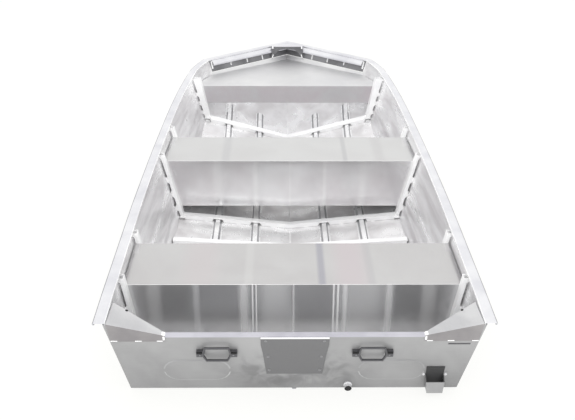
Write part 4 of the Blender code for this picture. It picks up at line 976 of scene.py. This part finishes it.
@dataclass(frozen=True)
class Stern:
    """The transom with its cap, knees, clamp plate, handles, drain and bracket.

    Attributes:
        plate_bolts: Half-width and height of the clamp plate's bolts.
        edging_height: Height of the bright edging on the clamp plate.
        tab_centres: Half-widths of the handles' tabs.
        tab_height: Height of the tabs' screws.
        bush_rise: How far above its screw a tab's bush is.
        seam_height: Height of the knees' lower seam.
        seam_stitches: Half-width and length in millimetres of the seam's stitches.
        knee_top: Half-width and Y of the weld on top of each end of the cap.
        knee_side: Half-width and height of the weld under it, on the transom's face.
        grommets: Half-width and Y of the knees' grommets.
        drain_height: Height of the drain's middle where it meets the transom's face.
        rest_ends: X of the blank lip's inner and outer end.
        rest_height: Its height.
        ears: X of the bracket's two ears.
        ear_height: Height of their bolts.
        outboard: How far outside the transom's face the lines to its seats start.
        rim_lean: Least upward or downward part of the normal of an oval's rim.
        shade_from: How far above the bracket's foot the painted shade on its back begins.
        shade_depth: How far the painted shade on its back reaches behind the bracket's front.
        unshaded_edge: Width of the edge round its opening that is left without painted shade.
        edging_size: Width, height and thickness in millimetres of the clamp plate's edging.
        bush_size: The same for a handle's bush.
        ear_size: The same for the bracket's ear.
        rest_size: Height and thickness in millimetres of the blank lip.
        bolt_size: Width across and height in millimetres of a clamp plate's bolt.
        screw_size: The same for a handle's screw.
        seam_size: Width and rise in millimetres of the knees' seam.
        top_size: Length, width and rise in millimetres of the weld on top of the cap's end.
        side_size: The same for the weld under it.
        sleeve: Inner and outer end's radius, depth and lift in millimetres of the black cylinder in the
            drain's bore and of its black lip.
        grommet_size: Foot's radius, head's radius and height in millimetres of a grommet.
    """

    plate_bolts: tuple[tuple[float, float], ...] = ((0.119, 0.305), (0.110, 0.211), (0.106, 0.1275))
    edging_height: float = 0.3225
    tab_centres: tuple[float, ...] = (0.251, 0.387)
    tab_height: float = 0.2375
    bush_rise: float = 0.0125
    seam_height: float = 0.306
    seam_stitches: tuple[tuple[float, float], ...] = ((0.731, 26.0), (0.632, 26.0), (0.546, 22.0))
    knee_top: tuple[float, float] = (0.530, -1.832)
    knee_side: tuple[float, float] = (0.529, 0.322)
    grommets: tuple[float, float] = (0.691, -1.7296)
    drain_height: float = 0.0325
    rest_ends: tuple[float, float] = (0.6245, 0.7150)
    rest_height: float = 0.2835
    ears: tuple[float, ...] = (0.5465, 0.6385)
    ear_height: float = 0.0955
    outboard: float = 0.2
    rim_lean: float = 0.15
    shade_from: float = 0.02
    shade_depth: float = 0.045
    unshaded_edge: float = 0.0025
    edging_size: tuple[float, ...] = (278.0, 9.0, 1.6)
    bush_size: tuple[float, ...] = (29.0, 10.0, 5.0)
    ear_size: tuple[float, ...] = (15.0, 26.0, 4.0)
    rest_size: tuple[float, ...] = (7.5, 3.0)
    bolt_size: tuple[float, ...] = (9.0, 2.4)
    screw_size: tuple[float, ...] = (8.0, 2.6)
    seam_size: tuple[float, ...] = (5.5, 1.6)
    top_size: tuple[float, ...] = (22.0, 18.0, 3.5)
    side_size: tuple[float, ...] = (20.0, 10.0, 3.0)
    sleeve: tuple[tuple[float, ...], ...] = ((10.2, 10.2, 24.0, 0.0), (15.4, 14.6, 1.2, 20.6))
    grommet_size: tuple[float, ...] = (6.5, 5.5, 3.0)

    def build(self) -> None:
        """Makes the stern's pieces."""
        self.skin()
        # The inner board and the inner motor plate take the darker board finish, which is painted shade
        for node, finish, edge_mm in (("transom_board", Finish.BOARD, 1.0), ("transom_cap", Finish.CAP, 0.6),
                                      ("transom_brace", Finish.FRAME, 0.6),
                                      ("motor_plate_outer", Finish.PLATE, 0.8),
                                      ("motor_plate_inner", Finish.BOARD, 0.8),
                                      ("drain_flange", Finish.SPUN, 0.5)):
            FormedPiece(node, finish, edge_mm).build()
        for _, side in HANDS:
            knee = FormedPiece(f"corner_knee_{side}", Finish.KNEE, 1.0).build()
            # Painted shade: the knees' aft-facing faces get the darker flange finish
            paint_faces(knee, [Finish.KNEE_FLANGE], lambda face: face.normal.y < -FACING)
            FormedPiece(f"grab_handle_{side}", Finish.CAST, 1.0, swell_mm=1.2).build()
        self.bracket()
        self.knee_welds()
        self.plate_fittings()
        self.handle_fittings()
        self.drain_lining()
        self.knee_grommets()
        rest = self.face(sum(self.rest_ends) / 2, self.rest_height)
        length = (self.rest_ends[1] - self.rest_ends[0]) / MM
        make_details("plate_rest", [Block(rest, (length, *self.rest_size), 1.0)], Finish.CAST)

    def face(self, x: float, z: float, nodes: Sequence[str] = ("transom_skin",)) -> Seat:
        """Gives the seat on the transom's outer face at X and Z."""
        return touch(nodes, self.plane(x, z) + TRANSOM_OUT * self.outboard, -TRANSOM_OUT)

    def plane(self, x: float, z: float) -> Vector:
        """Gives the point of the transom's flat outer face at X and Z."""
        foot = Vector(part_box("transom_cap")[0])
        return Vector((x, foot.y + (foot.z - z) * math.tan(RAKE), z))

    def skin(self) -> None:
        """Shows the transom's skin, with painted shade and highlight on its pressed ovals' rims and a
        painted dark reflection on its bent edge.
        """

        def rim(face: MeshPolygon) -> int:
            """Tells the ovals' upper rim, which gets painted shade, and lower rim, which gets a painted
            highlight, from the flat.

            Args:
                face: A face of the skin.

            Returns:
                The place of the face's finish among the skin's.
            """
            # Painted shade on the upper rim, whose faces turn up, and a painted highlight on the lower rim
            turned = face.normal.dot(TRANSOM_UP)
            if face.normal.dot(TRANSOM_OUT) > FACING and abs(turned) > self.rim_lean:
                return 1 if turned > 0 else 2
            return 0

        piece = FormedPiece("transom_skin", Finish.TRANSOM, 1.4).build()
        paint_faces(piece, [Finish.RIM_SHADE, Finish.RIM_LIGHT, Finish.BENT_EDGE], rim)
        # The skin's eased edges take the painted dark reflection
        piece.modifiers["eased_edges"].material = 3

    def bracket(self) -> None:
        """Shows the bracket with painted shade on its inside and its two bolted ears."""
        low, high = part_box("sensor_bracket")
        middle = (low[0] + high[0]) / 2

        def shaded_inside(face: MeshPolygon) -> bool:
            """Tells the inside, which gets painted shade, from the outside.

            Args:
                face: A face of the bracket.

            Returns:
                Whether the face gets painted shade.
            """
            normal, centre = face.normal, face.center
            wall = normal.x * (centre.x - middle) < -1e-4
            floor_or_front = normal.y > LEANING or normal.z > LEANING
            behind = centre.z > low[2] + self.shade_from and centre.y > high[1] - self.shade_depth
            back = normal.y < -FACING and behind
            return (wall or floor_or_front or back) and centre.y > low[1] + self.unshaded_edge

        # Painted shade: the bracket's inside and back take the dark matt finish
        paint_faces(FormedPiece("sensor_bracket", Finish.BRACKET, 0.8).build(), [Finish.PRIMER], shaded_inside)
        seats = [self.face(across, self.ear_height) for across in self.ears]
        make_details("bracket_ears", [Block(seat, self.ear_size, 0.8) for seat in seats],
                     Finish.BRACKET)
        make_details("bracket_bolts", [Fastener(Seat(seat.point + seat.facing * 0.002, seat.facing), 9.0,
                                                4.0, 6) for seat in seats], Finish.SPUN)

    def knee_welds(self) -> None:
        """Stitches the knees' lower seams and welds the cap's ends to them."""
        beads = []
        knees = ["corner_knee_left", "corner_knee_right"]
        for hand, _ in HANDS:
            for across, length in self.seam_stitches:
                seat = self.face(hand * across, self.seam_height, ["transom_skin", *knees])
                beads.append(straight_bead(seat, (1, 0, 0), length, *self.seam_size))
            across, y = self.knee_top
            top = touch([*knees, "transom_cap"], (hand * across, y, OVERHEAD))
            beads.append(straight_bead(top, (0, 1, 0), *self.top_size))
            across, z = self.knee_side
            side = self.face(hand * across, z, ["transom_skin", *knees])
            beads.append(straight_bead(side, TRANSOM_UP, *self.side_size))
        make_details("knee_welds", beads, Finish.WELD, SMOOTH)

    def plate_fittings(self) -> None:
        """Adds the clamp plate's bolts and the bright edge of the sheet along its top."""
        plate = ("motor_plate_outer",)
        bolts = [Fastener(self.face(hand * x, z, plate), *self.bolt_size)
                 for hand, _ in HANDS for x, z in self.plate_bolts]
        make_details("clamp_plate_bolts", bolts, Finish.STAINLESS)
        edging = Block(self.face(0.0, self.edging_height, plate), self.edging_size, 0.6)
        make_details("clamp_plate_edging", [edging], Finish.WELD)

    def handle_fittings(self) -> None:
        """Adds the handles' screws and the black bushes above them."""
        nodes = ("grab_handle_left", "grab_handle_right")
        seats = [self.face(hand * x, self.tab_height, nodes) for hand, _ in HANDS for x in self.tab_centres]
        make_details("handle_screws", [Fastener(seat, *self.screw_size) for seat in seats],
                     Finish.STAINLESS)
        bushes = [Block(Seat(seat.point + TRANSOM_UP * self.bush_rise, seat.facing), self.bush_size, 1.2)
                  for seat in seats]
        make_details("handle_bushes", bushes, Finish.RUBBER)

    def drain_lining(self) -> None:
        """Fills the drain's bore with a solid black cylinder, with a black lip over the flange."""
        low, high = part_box("drain_flange")
        place = Seat(self.plane((low[0] + high[0]) / 2, self.drain_height), TRANSOM_OUT).axes()
        shape = bmesh.new()
        for inner_mm, outer_mm, depth_mm, lift_mm in self.sleeve:
            bmesh.ops.create_cone(shape, cap_ends=True, segments=32, radius1=inner_mm * MM,
                                  radius2=outer_mm * MM, depth=depth_mm * MM,
                                  matrix=place @ Matrix.Translation((0, 0, lift_mm * MM)))
        finish_piece(shape, "drain_sleeve", Finish.RUBBER)

    def knee_grommets(self) -> None:
        """Adds a small black grommet to each knee, close under the rail."""
        shape = bmesh.new()
        across, y = self.grommets
        foot_mm, head_mm, height_mm = self.grommet_size
        for hand, side in HANDS:
            seat = touch([f"corner_knee_{side}"], (hand * across, y, OVERHEAD))
            bmesh.ops.create_cone(shape, cap_ends=True, segments=20, radius1=foot_mm * MM,
                                  radius2=head_mm * MM, depth=height_mm * MM, matrix=seat.axes())
        finish_piece(shape, "knee_grommets", Finish.RUBBER)


# Name, place, aim, size in metres and power in watts of each lamp
LAMPS = (("overhead_soft_box", (0.0, 0.0, 4.2), (0.0, -0.1, 0.0), (3.6, 5.0), 50.0),
         ("stern_soft_box", (-0.8, -9.0, 3.6), (0.0, 0.8, 0.2), (12.0, 4.4), 380.0),
         ("deck_fill", (0.0, 1.35, 0.50), (0.0, 1.35, 0.0), (1.1, 0.36), 1.5))


@dataclass(frozen=True)
class Studio:
    """The plain white set: floor, soft lamps, white surroundings and the photograph's camera.

    Attributes:
        camera_at: Camera's place.
        pitch: Angle in degrees that it looks down.
        yaw: Angle in degrees that it turns to starboard.
        roll: Angle in degrees that it leans.
        lens: Focal length in millimetres for a 36 mm wide sensor.
        dome: Strength of the surroundings as a lamp.
        glow: How much of the floor is plain white where it is seen. The rest takes the shadow.
    """

    camera_at: tuple[float, float, float] = (-0.065, -4.5952, 2.158)
    pitch: float = 24.69
    yaw: float = 0.665
    roll: float = 0.259
    lens: float = 50.836
    dome: float = 1.22
    glow: float = 0.85

    def build(self) -> None:
        """Makes the whole set."""
        self.camera()
        self.surroundings()
        self.floor()
        self.lamps()
        bpy.context.scene.view_settings.view_transform = "Standard"

    def camera(self) -> None:
        """Sets up the camera at the photograph's angle."""
        pitch, yaw, roll = (math.radians(angle) for angle in (self.pitch, self.yaw, self.roll))
        data = bpy.data.cameras.new("photo_camera")
        data.lens = self.lens
        data.sensor_width = 36.0
        data.clip_start = 0.05
        data.clip_end = 200.0
        camera = bpy.data.objects.new("photo_camera", data)
        camera.matrix_world = (
            Matrix.Translation(self.camera_at) @ Matrix.Rotation(-yaw, 4, "Z")
            @ Matrix.Rotation(math.pi / 2 - pitch, 4, "X") @ Matrix.Rotation(roll, 4, "Z"))
        bpy.context.scene.collection.objects.link(camera)
        bpy.context.scene.camera = camera

    @staticmethod
    def seen_directly(tree: NodeTree) -> Node:
        """Adds nodes that give one for what the camera, a mirror or glass shows, and none for light.

        Args:
            tree: The world's nodes.

        Returns:
            The last of the nodes.
        """
        camera, glossy, glass = (add_node(tree, "ShaderNodeLightPath").outputs[f"Is {kind} Ray"]
                                 for kind in ("Camera", "Glossy", "Transmission"))
        either = add_node(tree, "ShaderNodeMath", links={0: camera, 1: glossy}, operation="MAXIMUM")
        return add_node(tree, "ShaderNodeMath", links={0: either, 1: glass}, operation="MAXIMUM")

    def surroundings(self) -> None:
        """Makes white surroundings, plain white where they are seen or mirrored."""
        world = bpy.data.worlds.new("white_studio")
        world.use_nodes = True
        tree = world.node_tree
        tree.nodes.clear()
        add = functools.partial(add_node, tree)
        light = add("ShaderNodeBackground", {"Color": linear("#ffffff"), "Strength": self.dome})
        seen = add("ShaderNodeBackground", {"Color": linear("#fdfdfb"), "Strength": 1.0})
        both = add("ShaderNodeMixShader", links={0: self.seen_directly(tree), 1: light, 2: seen})
        add("ShaderNodeOutputWorld", links={"Surface": both})
        bpy.context.scene.world = world

    def floor(self) -> None:
        """Makes the wide pale floor, which keeps the boat's shadow."""
        shape = bmesh.new()
        bmesh.ops.create_circle(shape, cap_ends=True, radius=60.0, segments=64)
        mesh = bpy.data.meshes.new("studio_floor")
        shape.to_mesh(mesh)
        shape.free()
        paint = bpy.data.materials.new("white_studio_floor_paint")
        paint.use_nodes = True
        tree = paint.node_tree
        tree.nodes.clear()
        add = functools.partial(add_node, tree)
        matt = add("ShaderNodeBsdfDiffuse", {"Color": linear("#f6f6f4")})
        glow = add("ShaderNodeEmission", {"Color": linear("#fffffd"), "Strength": 1.0})
        share = add("ShaderNodeMath", {1: self.glow}, {0: self.seen_directly(tree)}, operation="MULTIPLY")
        both = add("ShaderNodeMixShader", links={0: share, 1: matt, 2: glow})
        add("ShaderNodeOutputMaterial", links={"Surface": both})
        mesh.materials.append(paint)
        floor = bpy.data.objects.new("studio_floor", mesh)
        bpy.context.scene.collection.objects.link(floor)

    def lamps(self) -> None:
        """Hangs two soft boxes and a fill under the deck. Bright metal mirrors the surroundings alone."""
        for name, at, towards, size, power in LAMPS:
            data = bpy.data.lights.new(name, "AREA")
            data.shape = "RECTANGLE"
            data.size, data.size_y = size
            data.energy = power
            lamp = bpy.data.objects.new(name, data)
            lamp.location = at
            lamp.visible_glossy = False
            lamp.rotation_euler = (Vector(towards) - Vector(at)).to_track_quat("-Z", "Y").to_euler()
            bpy.context.scene.collection.objects.link(lamp)


def main() -> None:
    """Builds the boat's pieces in order, then the studio."""
    for part in (Hull(), Framing(), Benches(), Rails(), Stern(), Studio()):
        part.build()
        LOG.info("%s built", type(part).__name__)


if __name__ == "__main__":
    logging.basicConfig(level=logging.INFO, format="%(message)s")
    main()
